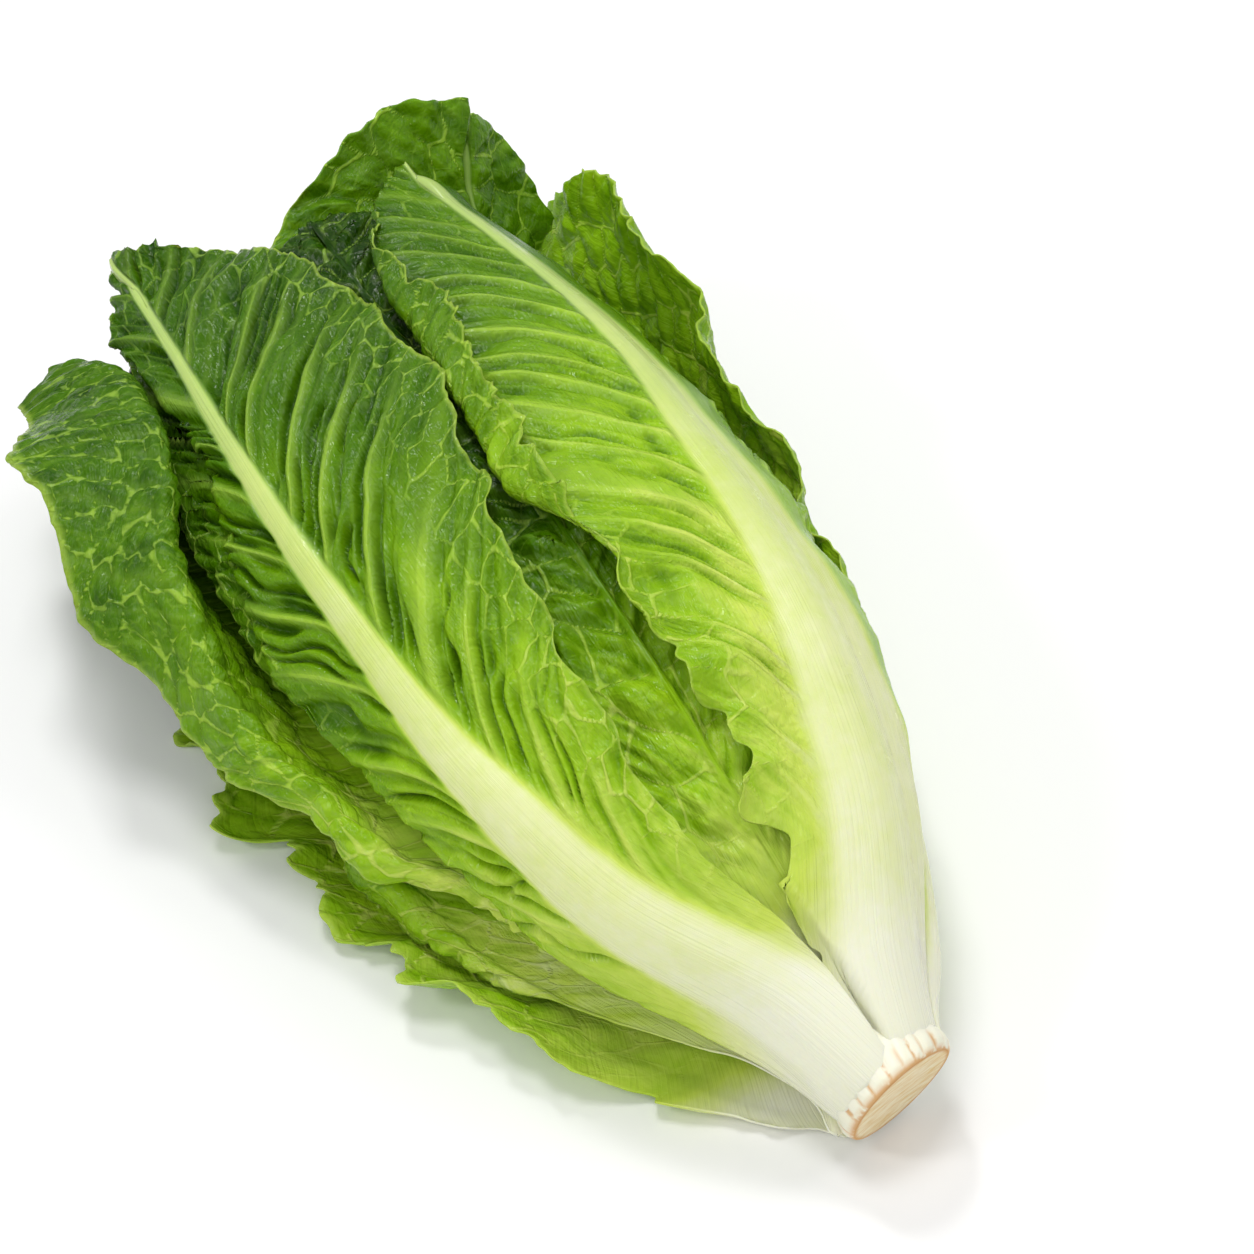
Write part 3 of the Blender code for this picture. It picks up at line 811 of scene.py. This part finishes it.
def outer_leaves() -> list[Leaf]:
    """Sizes of the six leaves that show most.

    Returns:
        The leaves, outermost first.
    """
    return [
        Leaf("leaf_under", (11.4, 206.0), (206, 200, 194, 190, 188, 186),
             (0.84, 1.0, 1.03, 1.03, 1.03, 1.02),
             Half((8, 24, 40, 48, 50, 44), (0, 0, 1, 2, 2)),
             Half((15, 31.0, 44.0, 53, 58, 60, 61, 61, 61, 61, 60, 59, 57, 53, 48),
                  (5, 15, 20, 21.5, 23, 26, 28, 28, 28, 28, 27, 26, 24, 20, 16),
                  teeth=1.2, lobes=3.0, lobe_size=8.0, frill=2.2),
             ((2.6, 2.6, 2.2, 1.5, 0.8), (8, 8, 6, 4, 3)), (2.6, 6.0, 0.4), (150, 260), Tone.DARK,
             Veins(net_from=0.35), seed=1.0, soft=0.0, foot=12.3),
        Leaf("leaf_low_left", (13.0, 236.0), (150, 142, 142, 146, 150, 150, 150, 150),
             (1.02, 1.40, 1.28, 1.1, 1.0, 0.97, 0.97, 0.97),
             Half((5, 18, 32, 36, 34, 30)),
             Half((9, 22, 32, 42, 48, 48, 44, 38), (0, 10, 17, 15, 11, 8, 4, 0),
                  (0, 2, 8, 12, 13, 10, 6, 3), fold=140.0, roll=2.5, lobes=1.6, lobe_size=9.0,
                  frill=1.0),
             ((1.2, 2.2, 2.0, 1.5, 0.8), (6.5, 6.5, 5, 4, 3)), (1.4, 7.0, 2.0), (140, 300), Tone.FOLDED,
             Veins(net_from=0.35, lean=(1.4, 0.9, 0.7, 0.6)), seed=2.0, foot=14.6),
        Leaf("leaf_right", (11.4, 266.0), (-94, -100, -105, -108, -110), (0.82, 0.98, 1.0, 1.0, 1.0),
             Half((5, 8, 10, 15, 29, 39, 43, 46, 48), (0, 0, 0, 0, 2, 5, 13, 17, 14), lobes=1.4,
                  lobe_size=9.0),
             Half((6, 20, 32, 36, 34, 30)),
             ((3.8, 3.2, 2.4, 1.5, 0.8), (7, 8, 6, 4, 3)), (2.0, 6.0, 1.1), (150, 320), Tone.DARK,
             Veins(net_from=0.15, pitch=24.0, lean=(1.5, 0.9, 0.6, 0.4), blister=1.5, blister_size=9.0),
             tip_start=0.70, seed=3.0, soft=2.0, foot=12.3),
        Leaf("leaf_left", (18.0, 259.0), (138, 130, 126, 124, 122, 120, 118, 116, 115),
             (0.86, 1.0, 1.0, 1.0, 1.0, 1.01, 1.02),
             Half((4, 16, 32, 36, 34, 30)),
             Half((5, 14, 23, 33, 46, 70, 92, 88, 70), (0, 4, 6, 11, 12, 8, 3, 0, 0),
                  (0, 4, 9, 11, 18, 28, 36, 33, 18), fold=148.0, lobes=1.0),
             ((1.2, 2.2, 2.2, 1.5, 0.8), (4, 5, 5, 4, 3)), (1.6, 6.0, 0.6), (165, 300), Tone.FOLDED,
             Veins(net_from=0.3, pitch=17.0, lean=(1.2, 0.7, 0.35, 0.2), bend=0.002, blister=1.1,
                   blister_size=6.0), seed=4.0, foot=11.0),
        Leaf("leaf_top_left", (10.8, 266.0), (44, 62, 64, 63, 59, 54, 50, 48, 47),
             (0.83, 1.06, 1.04, 1.0, 1.0, 1.0, 1.0, 1.0),
             Half((19, 29, 33.5, 31.5, 31, 30, 30, 17, 9), (0, 2, 4.2, 7.5, 9.5, 4.5, 0, 0, 0),
                  teeth=0.2, lobes=0.5),
             Half((7.5, 20.5, 27, 35, 38.5, 42, 38, 30, 19), (0, 0, 1, 2, 2, 2, 1), teeth=0.4, lobes=1.8,
                  lobe_size=9.0),
             ((4.2, 4.0, 3.0, 2.0, 1.2, 0.8), (11.5, 11.5, 8, 5.5, 3.5, 2.5)), (1.5, 7.0, 0.2),
             (130, 375), Tone.FRESH,
             Veins(pucker=4.0, net_from=0.64, lean=(1.6, 1.0, 0.8, 0.6), lean_right=1.6, sweep=7.0),
             seed=5.0, foot=11.4),
        Leaf("leaf_top_right", (10.8, 246.0), (-18, -31, -31, -30, -28, -28.5, -26, -20.5, -14),
             (0.80, 1.0, 1.02, 1.0, 1.0, 1.02, 1.08),
             Half((9.0, 21, 26.5, 31, 45, 48, 41, 30, 17), (0, 0), (0, 0, 0, 3, 11, 15, 13, 8, 2),
                  fold=150.0, roll=2.4, teeth=1.3, lobes=3.6, lobe_size=8.0, frill=3.6),
             Half((12, 24, 31, 32, 32, 30, 26, 20, 14), (0, 0, 0, -2, -6, -9, -10, -8)),
             ((4.2, 4.0, 3.0, 2.0, 1.2, 0.8), (11, 12, 9, 6, 4, 2.5)), (1.3, 8.0, 1.6), (140, 340),
             Tone.LIGHT,
             Veins(pitch=12.0, lean=(1.6, 0.8, 0.6, 0.5), pucker=2.2, pucker_size=3.6, net_from=0.66),
             seed=6.0, foot=11.4, pale_right=2.7, calm=8.0),
    ]


def second_leaves() -> list[Leaf]:
    """Sizes of the leaves under them: one fills the gap on top and one stands up at the back.

    Returns:
        The leaves, outermost first.
    """
    rib = ((2.0, 2.0, 1.5, 1.0, 0.6), (5, 6, 5, 3.5, 2.5))
    half = Half((6, 17, 26, 32, 34, 30))
    layers = (0.62, 0.76, 0.82, 0.84, 0.84)
    rough = Veins(blister=3.4, blister_size=10.5, pucker=2.0, net_from=0.15, swell=Seen.OUTWARDS)
    made = [
        Leaf("leaf_between", (16.5, 243.0), (12, 13, 12, 12, 10), (0.64, 0.80, 0.86, 0.88, 0.89, 0.93),
             Half((5, 15, 24, 32, 36, 36, 30)), Half((5, 15, 24, 32, 36, 36, 26)),
             ((0.5, 0.4, 0.3, 0.2), (1.6, 1.4, 1.2, 1.0)), (2.2, 8.0, 0.7), (130, 330), Tone.SAVOY,
             rough, seed=7.0, soft=2.0, pale_rib=0.0),
        Leaf("leaf_back", (20.0, 272.0), (-46, -46, -47, -50), (0.60, 0.70, 0.75, 0.75, 0.74),
             Half((5, 15, 26, 34, 40, 46, 48), lobes=1.4, lobe_size=9.0),
             Half((5, 14, 21, 25, 29, 34, 40), (0, 0, 0, 0, 2, 7, 10), lobes=1.4, lobe_size=9.0),
             rib, (2.0, 7.0, 1.9), (140, 340), Tone.DEEP,
             Veins(blister=2.2, blister_size=9.5, net_from=0.1, pitch=26.0, swell=Seen.OUTWARDS),
             (234.0, 20.0, 62.0), seed=8.0, soft=2.5, pale_rib=0.12),
    ]
    for name, span, angles, start in (
        ("leaf_second_left", (19.0, 246.0), (84, 86, 86, 84, 84), 0.3),
        ("leaf_second_low", (25.0, 238.0), (158, 160, 160, 158, 158), 1.3),
        ("leaf_second_right", (19.0, 240.0), (-120, -122, -122, -117, -112), 2.3),
    ):
        made.append(Leaf(name, span, angles, layers, half, half, rib, (2.2, 6.0, start), (60, 170),
                         Tone.SAVOY, rough, seed=9.0 + start))
    return made


def inner_leaves() -> list[Leaf]:
    """Sizes of the pale leaves inside, in two rings.

    Returns:
        The leaves, outermost first.
    """
    rib = ((1.2, 1.4, 1.2, 0.8, 0.4), (3, 4, 3.5, 3, 2))
    made = []
    for ring, count, start, reach, layer, widths, tone in (
        ("third", 4, 36.0, 216.0, (0.44, 0.52, 0.57, 0.58), (4, 13, 21, 26, 26, 20), Tone.PALE),
        ("core", 3, 42.0, 170.0, (0.20, 0.26, 0.30, 0.30), (3, 7, 12, 14, 13, 9), Tone.YOLK),
    ):
        half = Half(widths)
        for number in range(count):
            middle = 48.0 + 360.0 * number / count
            made.append(Leaf(f"leaf_{ring}_{number + 1}", (start, reach - 9.0 * number),
                             (middle, middle), layer, half, half, rib, (1.6, 5.0, 1.7 * number),
                             (40, 130), tone, seed=20.0 + number))
    return made


class Nodes:
    """Short ways to wire a material."""

    def __init__(self, name: str) -> None:
        """Starts a material with its surface shader and output only."""
        self.material = bpy.data.materials.new(name)
        self.material.use_nodes = True
        self.tree = self.material.node_tree
        self.surface = self.tree.nodes["Principled BSDF"]

    def put(self, socket: Socket, value: Given) -> None:
        """Links a socket, or sets its value.

        Args:
            socket: the socket that takes the value.
            value: another node's output, or a number or colour.
        """
        if isinstance(value, bpy.types.NodeSocket):
            self.tree.links.new(value, socket)
        else:
            socket.default_value = value

    def finish(self, **given: Given) -> bpy.types.Material:
        """Links or sets the surface shader's inputs.

        Args:
            given: each input's value by its name, with _ for a space.

        Returns:
            The material, done.
        """
        for name, value in given.items():
            self.put(self.surface.inputs[name.replace("_", " ")], value)
        return self.material

    def node(self, kind: str, values: tuple[Given, ...] = (), **settings: object) -> bpy.types.Node:
        """A node of the material.

        Args:
            kind: the node's type, without its leading ShaderNode.
            values: what its inputs take, in their order.
            settings: the node's own settings, or its inputs by name where it has no such setting.

        Returns:
            The node.
        """
        made = self.tree.nodes.new("ShaderNode" + kind)
        for name, setting in settings.items():
            if hasattr(made, name):
                setattr(made, name, setting)
            else:
                self.put(made.inputs[name], setting)
        for socket, value in zip(made.inputs, values):
            self.put(socket, value)
        return made

    def read(self, name: str) -> Socket:
        """A number kept on the mesh."""
        return self.node("Attribute", attribute_name=name).outputs["Fac"]

    def math(self, kind: str, *values: Given) -> Socket:
        """One of Blender's sums of one to three values."""
        return self.node("Math", values, operation=kind).outputs[0]

    def times(self, first: Given, second: Given) -> Socket:
        """A product."""
        return self.math("MULTIPLY", first, second)

    def times_plus(self, first: Given, second: Given, added: Given) -> Socket:
        """A product and a third value added."""
        return self.math("MULTIPLY_ADD", first, second, added)

    def span(
        self, value: Given, low: float, high: float, first: float = 0.0, last: float = 1.0
    ) -> Socket:
        """Moves a value smoothly from the range low to high to the range first to last."""
        values = (value, low, high, first, last)
        return self.node("MapRange", values, interpolation_type="SMOOTHSTEP").outputs[0]

    def vector(self, x: Given, y: Given, z: Given = 0.0) -> Socket:
        """Three numbers as one vector."""
        return self.node("CombineXYZ", (x, y, z)).outputs[0]

    def noise(self, at: Given, scale: float, detail: float = 3.0, rough: float = 0.5) -> Socket:
        """A cloudy pattern."""
        made = self.node("TexNoise", Vector=at, Scale=scale, Detail=detail, Roughness=rough)
        return made.outputs["Fac"]

    def mesh_of_cells(self, at: Given, scale: float) -> Socket:
        """The distance to the edges of irregular cells."""
        made = self.node("TexVoronoi", feature="DISTANCE_TO_EDGE", Vector=at, Scale=scale)
        return made.outputs["Distance"]

    def ramp(self, value: Given, stops: Stops) -> Socket:
        """A colour for a value from 0 to 1.

        Args:
            value: the value.
            stops: places from 0 to 1 with their colours.

        Returns:
            The colour.
        """
        made = self.node("ValToRGB", (value,))
        band = made.color_ramp
        for element, (position, colour) in zip(band.elements, (stops[0], stops[-1])):
            element.position, element.color = position, (*colour, 1.0)
        for position, colour in stops[1:-1]:
            band.elements.new(position).color = (*colour, 1.0)
        return made.outputs["Color"]

    def mix(self, share: Given, first: Given, second: Given) -> Socket:
        """Two colours mixed.

        Args:
            share: how much of the second.
            first: a colour.
            second: another colour.

        Returns:
            The mixed colour.
        """
        made = self.node("Mix", data_type="RGBA")
        inputs = {socket.identifier: socket for socket in made.inputs}
        for name, given in (("Factor_Float", share), ("A_Color", first), ("B_Color", second)):
            self.put(inputs[name], (*given, 1.0) if isinstance(given, tuple) else given)
        return next(item for item in made.outputs if item.identifier == "Result_Color")

    def bump(self, height: Given, depth: float, strength: float) -> Socket:
        """A surface normal from a height."""
        return self.node("Bump", Strength=strength, Distance=depth, Height=height).outputs["Normal"]


def plain(red: int, green: int, blue: int) -> Colour:
    """A colour as the eye names it (0 to 255) in linear light."""
    return tuple(max(((c / 255.0 + 0.055) / 1.055) ** 2.4 - 0.0008, 0.0) for c in (red, green, blue))


@dataclass(frozen=True)
class LeafFinish:
    """Waxy blade: white at the base, through yellow green to dark green, with pale veins; painted shade
    in the creases and a painted highlight on the tops of the puckers.
    """

    name: str
    greens: Stops = (
        (0.00, plain(244, 245, 220)),
        (0.12, plain(232, 239, 174)),
        (0.26, plain(206, 227, 96)),
        (0.42, plain(150, 194, 26)),
        (0.58, plain(105, 151, 7)),
        (0.74, plain(71, 116, 1)),
        (0.88, plain(44, 84, 0)),
        (1.00, plain(27, 58, 0)),
    )
    rim: Colour = plain(176, 206, 84)
    vein: Colour = plain(200, 220, 118)
    rib: Colour = plain(200, 214, 150)
    # The dark green painted into the creases as shade.
    painted_shade_green: Colour = plain(24, 66, 2)
    inside_shift: float = -0.05
    roughness: float = 0.18
    gloss: float = 0.18
    glow: float = 0.18
    glow_colours: Colour = (0.8, 1.0, 0.15)

    def build(self) -> bpy.types.Material:
        """Makes the material.

        Returns:
            The finish as a material.
        """
        n = Nodes(self.name)
        beside, run, lateral = n.read("beside"), n.read("run"), n.read("lateral")
        sheet = n.vector(n.times(beside, 0.1), n.times(run, 0.1))
        flow = n.vector(n.times(lateral, 1.2), n.times(beside, 0.06))
        off_rib, quilted, fresh = n.read("off_rib"), n.read("quilted"), n.read("fresh")
        scar_and_crease_shade = n.read("scar_and_crease_shade")

        cloud = n.math("SUBTRACT", n.noise(sheet, 0.35, 2.0), 0.5)
        mottle = n.math("SUBTRACT", n.noise(sheet, 3.0, 3.0), 0.5)
        green = n.times_plus(cloud, 0.20, n.read("green"))
        green = n.times_plus(mottle, 0.10, green)
        streak = n.times(n.math("SUBTRACT", n.noise(flow, 2.2, 3.0), 0.5), off_rib)
        green = n.times_plus(n.times(streak, fresh), 0.30, green)
        green = n.times_plus(n.read("inside"), self.inside_shift, green)
        # Painted shade: greener and darker in the creases.
        green = n.times_plus(scar_and_crease_shade, 0.14, green)
        # Painted highlight: lighter on the tops of the puckers.
        green = n.times_plus(n.read("bulge_and_highlight"), -0.05, green)

        apart = n.times(n.math("PINGPONG", lateral, 0.5), n.read("spacing"))
        core = n.span(apart, 0.3, 1.0, 1.0, 0.0)
        halo = n.span(apart, 0.4, 2.6, 1.0, 0.0)
        band = n.math("MAXIMUM", n.times(halo, 0.6), n.times(core, 0.9))
        blade = n.times(n.span(off_rib, 0.0, 0.5), fresh)
        minor = n.span(n.read("third"), 0.1, 0.9, 1.0, 0.0)
        net = n.times(n.span(n.read("net"), 0.10, 0.42, 1.0, 0.0), quilted)
        small = n.times(n.span(n.read("small_net"), 0.05, 0.30, 1.0, 0.0), quilted)
        fine = n.mesh_of_cells(sheet, 5.0)
        fine_line = n.span(fine, 0.0, 0.07, 1.0, 0.0)

        band = n.times(band, n.times_plus(quilted, -0.75, 1.0))
        lines = n.math("MAXIMUM", n.times(band, 0.85), n.times(minor, 0.16))
        lines = n.math("MAXIMUM", lines, n.times(fine_line, 0.08))
        lines = n.times(lines, blade)
        lines = n.math("MAXIMUM", lines, n.times(net, 0.85))
        lines = n.math("MAXIMUM", lines, n.times(small, 0.22))
        lighter = n.times_plus(n.times(lines, green), -0.32, green)
        colour = n.ramp(lighter, self.greens)
        colour = n.mix(n.times(lines, 0.26), colour, self.vein)
        colour = n.mix(n.times(n.read("on_rib"), 0.55), colour, self.rib)
        # Painted shade: a dark green mixed into the creases.
        colour = n.mix(n.times(scar_and_crease_shade, 0.25), colour, self.painted_shade_green)
        rim = n.times(n.span(n.read("rim"), 0.975, 0.998), 0.55)
        colour = n.mix(n.times(rim, fresh), colour, self.rim)

        wrinkle = n.noise(flow, 4.0, 2.0, 0.5)
        crinkle = n.span(fine, 0.0, 0.35)
        ribs = n.noise(n.vector(n.times(beside, 2.0), n.times(run, 0.03)), 1.0, 2.0)
        height = n.times_plus(crinkle, 0.12, wrinkle)
        height = n.times_plus(lines, 0.35, n.times(height, blade))
        height = n.times_plus(ribs, 0.30, height)
        cloudy = n.noise(sheet, 1.4, 3.0)
        rough = n.span(cloudy, 0.3, 0.7, self.roughness - 0.05, self.roughness + 0.10)
        return n.finish(Base_Color=colour, Normal=n.bump(height, 0.0011, 0.8), Roughness=rough,
                        Specular_IOR_Level=self.gloss, Subsurface_Weight=self.glow,
                        Subsurface_Radius=self.glow_colours, Subsurface_Scale=GLOW_DEPTH)


@dataclass(frozen=True)
class StemFinish:
    """Fibrous tan cut face with a brown rim, and a white neck with brown-edged nubs."""

    name: str = "cut_stem"
    face: Colour = plain(228, 194, 126)
    pith: Colour = plain(245, 232, 198)
    rim: Colour = plain(206, 142, 62)
    neck: Colour = plain(246, 244, 222)
    scar: Colour = plain(216, 158, 82)
    glow: float = 0.2
    glow_colours: Colour = (1.0, 0.8, 0.5)

    def build(self) -> bpy.types.Material:
        """Makes the material.

        Returns:
            The finish as a material.
        """
        n = Nodes(self.name)
        across, up = n.read("across"), n.read("up")
        fibre_at = n.vector(n.times(across, 0.16), n.times(up, 0.7))
        fibre = n.noise(fibre_at, 1.0, 5.0, 0.65)
        out = n.read("out")
        face = n.mix(n.span(fibre, 0.35, 0.7), self.pith, self.face)
        face = n.mix(n.span(out, 0.88, 1.0), face, self.rim)
        patches = n.noise(n.vector(across, up, n.read("down")), 0.5, 3.0)
        scar = n.times(n.read("scar_and_crease_shade"), n.span(patches, 0.3, 0.5))
        neck = n.mix(n.times(scar, 0.85), self.neck, self.scar)
        colour = n.mix(n.read("on_face"), neck, face)
        rough = n.span(n.read("on_face"), 0.0, 1.0, 0.4, 0.75)
        return n.finish(Base_Color=colour, Normal=n.bump(fibre, 0.0004, 0.7), Roughness=rough,
                        Subsurface_Weight=self.glow, Subsurface_Radius=self.glow_colours,
                        Subsurface_Scale=GLOW_DEPTH)


@dataclass
class Stem:
    """The turned stem: cut face, neck with nubs, and the point inside.

    profile is (mm along, mm of radius), and face is the cut face's radius before its edge.
    """

    profile: tuple[tuple[float, float], ...] = (
        (0.0, 4.0), (0.0, 8.0), (0.0, 11.0), (0.0, 12.3), (0.25, 12.7), (0.7, 13.0), (1.2, 13.2),
        (1.8, 13.35), (2.4, 13.4), (3.0, 13.4), (3.6, 13.3), (4.4, 13.1), (5.4, 12.8), (6.6, 12.4),
        (8.0, 12.0), (10.0, 11.4), (12.0, 10.8), (14.0, 10.2), (16.0, 9.4), (18.0, 8.4), (21.0, 6.8),
        (30.0, 3.5), (42.0, 2.4), (50.0, 1.5),
    )
    sides: int = 144
    nubs: int = 23
    nub_height: float = 0.50
    neck: float = 6.0
    face: float = 12.3
    edge: float = 12.7

    def build(self) -> bpy.types.Object:
        """Turns the stem round its axis and slants it at the cut.

        Returns:
            The stem as an object.
        """
        shape = bmesh.new()
        line = [shape.verts.new((radius, along, 0.0)) for along, radius in self.profile]
        edges = [shape.edges.new(pair) for pair in zip(line, line[1:])]
        bmesh.ops.spin(shape, geom=line + edges, cent=(0.0, 0.0, 0.0), axis=(0.0, 1.0, 0.0),
                       angle=TURN, steps=self.sides, use_merge=True)
        bmesh.ops.remove_doubles(shape, verts=shape.verts[:], dist=0.0001)
        ends = [edge for edge in shape.edges if edge.is_boundary]
        bmesh.ops.contextual_create(shape, geom=[edge for edge in ends if edge.verts[0].co.y < 1.0])
        bmesh.ops.contextual_create(shape, geom=[edge for edge in ends if edge.verts[0].co.y > 1.0])
        bmesh.ops.recalc_face_normals(shape, faces=shape.faces[:])
        mesh = bpy.data.meshes.new("fine_stem")
        shape.to_mesh(mesh)
        shape.free()
        return finished(mesh, self.shaped(mesh))

    def shaped(self, mesh: bpy.types.Mesh) -> Grid:
        """Slants and swells the turned points, and marks them for the finish.

        Args:
            mesh: the turned stem.

        Returns:
            mm from the stem's axis and cut face, one row for each point.
        """
        x, y, z = coordinates(mesh).astype(float).T
        turn = np.arctan2(z, x)
        radius = np.hypot(x, z)
        on_face = (y < 0.12) & (radius < self.edge)
        lumps = turn / TURN * self.nubs
        lumps = lumps + 0.45 * noise(lumps * 0.7, 0.0 * lumps, 3.0)
        from_nub = np.abs(lumps - np.rint(lumps))
        on_neck = ease(y, 0.4, 1.6) * (1.0 - ease(y, self.neck - 1.0, self.neck + 3.0))
        swell = self.nub_height * (1.0 - ease(from_nub, 0.15, 0.5)) * on_neck
        swell = swell * (0.6 + 0.4 * noise(lumps * 1.7, y / 3.0, 5.0))
        grow = 1.0 + swell / np.maximum(radius, 1.0)
        dish = 0.5 * (1.0 - (radius / self.face) ** 2) * on_face
        share = np.maximum(1.0 - y / self.neck, 0.0)
        down = y + share * (STEM_SLANT_ACROSS * x + STEM_SLANT_UP * z) + dish
        middle = OUTSIDE.at(np.maximum(down, 0.0), 0.0 * x)[1] + 0.45
        # Brown scars between the nubs and along the cut: the stem's own colour, kept in the same mark.
        between = ease(from_nub, 0.36, 0.47) * ease(y, 0.2, 0.9) * (1.0 - ease(y, 2.4, 4.6))
        scar_and_crease_shade = np.maximum(between, 1.0 - ease(np.abs(y - 0.3), 0.1, 0.6))
        for name, values in (("on_face", on_face), ("out", radius / 12.6), ("scar_and_crease_shade", scar_and_crease_shade),
                             ("across", x), ("up", z), ("down", y)):
            mark(mesh, name, values)
        return np.stack([x * grow, down, np.maximum(z * grow + middle, 0.0)], axis=-1)


@dataclass
class Studio:
    """Pale floor, soft light and the camera.

    target and distance are in metres, elevation and heading in degrees, and lens in mm.
    """

    target: tuple[float, float, float] = (0.02677, -0.00530, 0.030)
    elevation: float = 45.0
    heading: float = 28.582
    distance: float = 0.64887
    lens: float = 85.0
    surround: float = 0.40

    def camera(self) -> None:
        """The camera, looking down along the heart from its cut end."""
        up, turn = math.radians(self.elevation), math.radians(self.heading)
        look = Vector((math.sin(turn) * math.cos(up), math.cos(turn) * math.cos(up), -math.sin(up)))
        data = bpy.data.cameras.new("view")
        data.lens, data.sensor_width, data.clip_start = self.lens, 36.0, 0.01
        camera = linked("view", data)
        camera.location = Vector(self.target) - look * self.distance
        camera.rotation_euler = look.to_track_quat("-Z", "Y").to_euler()
        bpy.context.scene.camera = camera

    def floor(self) -> None:
        """A plain pale floor."""
        sheet = bmesh.new()
        bmesh.ops.create_grid(sheet, x_segments=1, y_segments=1, size=3.0)
        mesh = bpy.data.meshes.new("floor")
        sheet.to_mesh(mesh)
        sheet.free()
        mesh.materials.append(Nodes("floor_white").finish(
            Base_Color=(0.97, 0.97, 0.97, 1.0), Roughness=0.9, Specular_IOR_Level=0.1))
        floor = linked("floor", mesh)
        floor.location.z = -0.0002

    def lights(self) -> None:
        """A bright white surround and five soft lamps, one on each side and one above."""
        world = bpy.data.worlds.new("surround")
        world.use_nodes = True
        background = world.node_tree.nodes["Background"]
        background.inputs["Color"].default_value = (1.0, 1.0, 1.0, 1.0)
        background.inputs["Strength"].default_value = self.surround
        bpy.context.scene.world = world
        for name, place, size, power in (
            ("back", (0.05, 0.6, 1.0), 0.18, 3.4),
            ("left", (-0.85, 0.1, 0.85), 0.18, 2.1),
            ("right", (0.75, -0.1, 0.9), 0.50, 1.8),
            ("front", (-0.3, -0.9, 0.9), 0.50, 2.2),
            ("top", (-0.1, 0.1, 1.3), 0.36, 4.2),
        ):
            data = bpy.data.lights.new(name, "AREA")
            data.shape, data.size, data.energy = "SQUARE", size, power
            lamp = linked(name, data)
            lamp.location = place
            aim = Vector(self.target) - Vector(place)
            lamp.rotation_euler = aim.to_track_quat("-Z", "Y").to_euler()

    def build(self) -> None:
        """Everything round the heart."""
        self.camera()
        self.floor()
        self.lights()
        bpy.context.scene.view_settings.view_transform = "Standard"


def dress(piece: bpy.types.Object, node: str, material: bpy.types.Material) -> None:
    """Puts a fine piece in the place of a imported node.

    Args:
        piece: the fine piece.
        node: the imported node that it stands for.
        material: its finish.
    """
    piece.data.materials.append(material)
    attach(piece, BODY)
    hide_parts(node)
    LOG.info("%s: %d faces", piece.name, len(piece.data.polygons))


def main() -> None:
    """Builds the scene in order: stem, leaves from the outside in, then the studio."""
    logging.basicConfig(level=logging.INFO, format="%(message)s")
    dress(Stem().build(), "stem", StemFinish().build())
    layers = Layers()
    for leaf in outer_leaves() + second_leaves() + inner_leaves():
        layers = leaf.lay(layers)
        dress(leaf.build(), leaf.name, LeafFinish(leaf.name).build())
    Studio().build()


if __name__ == "__main__":
    main()
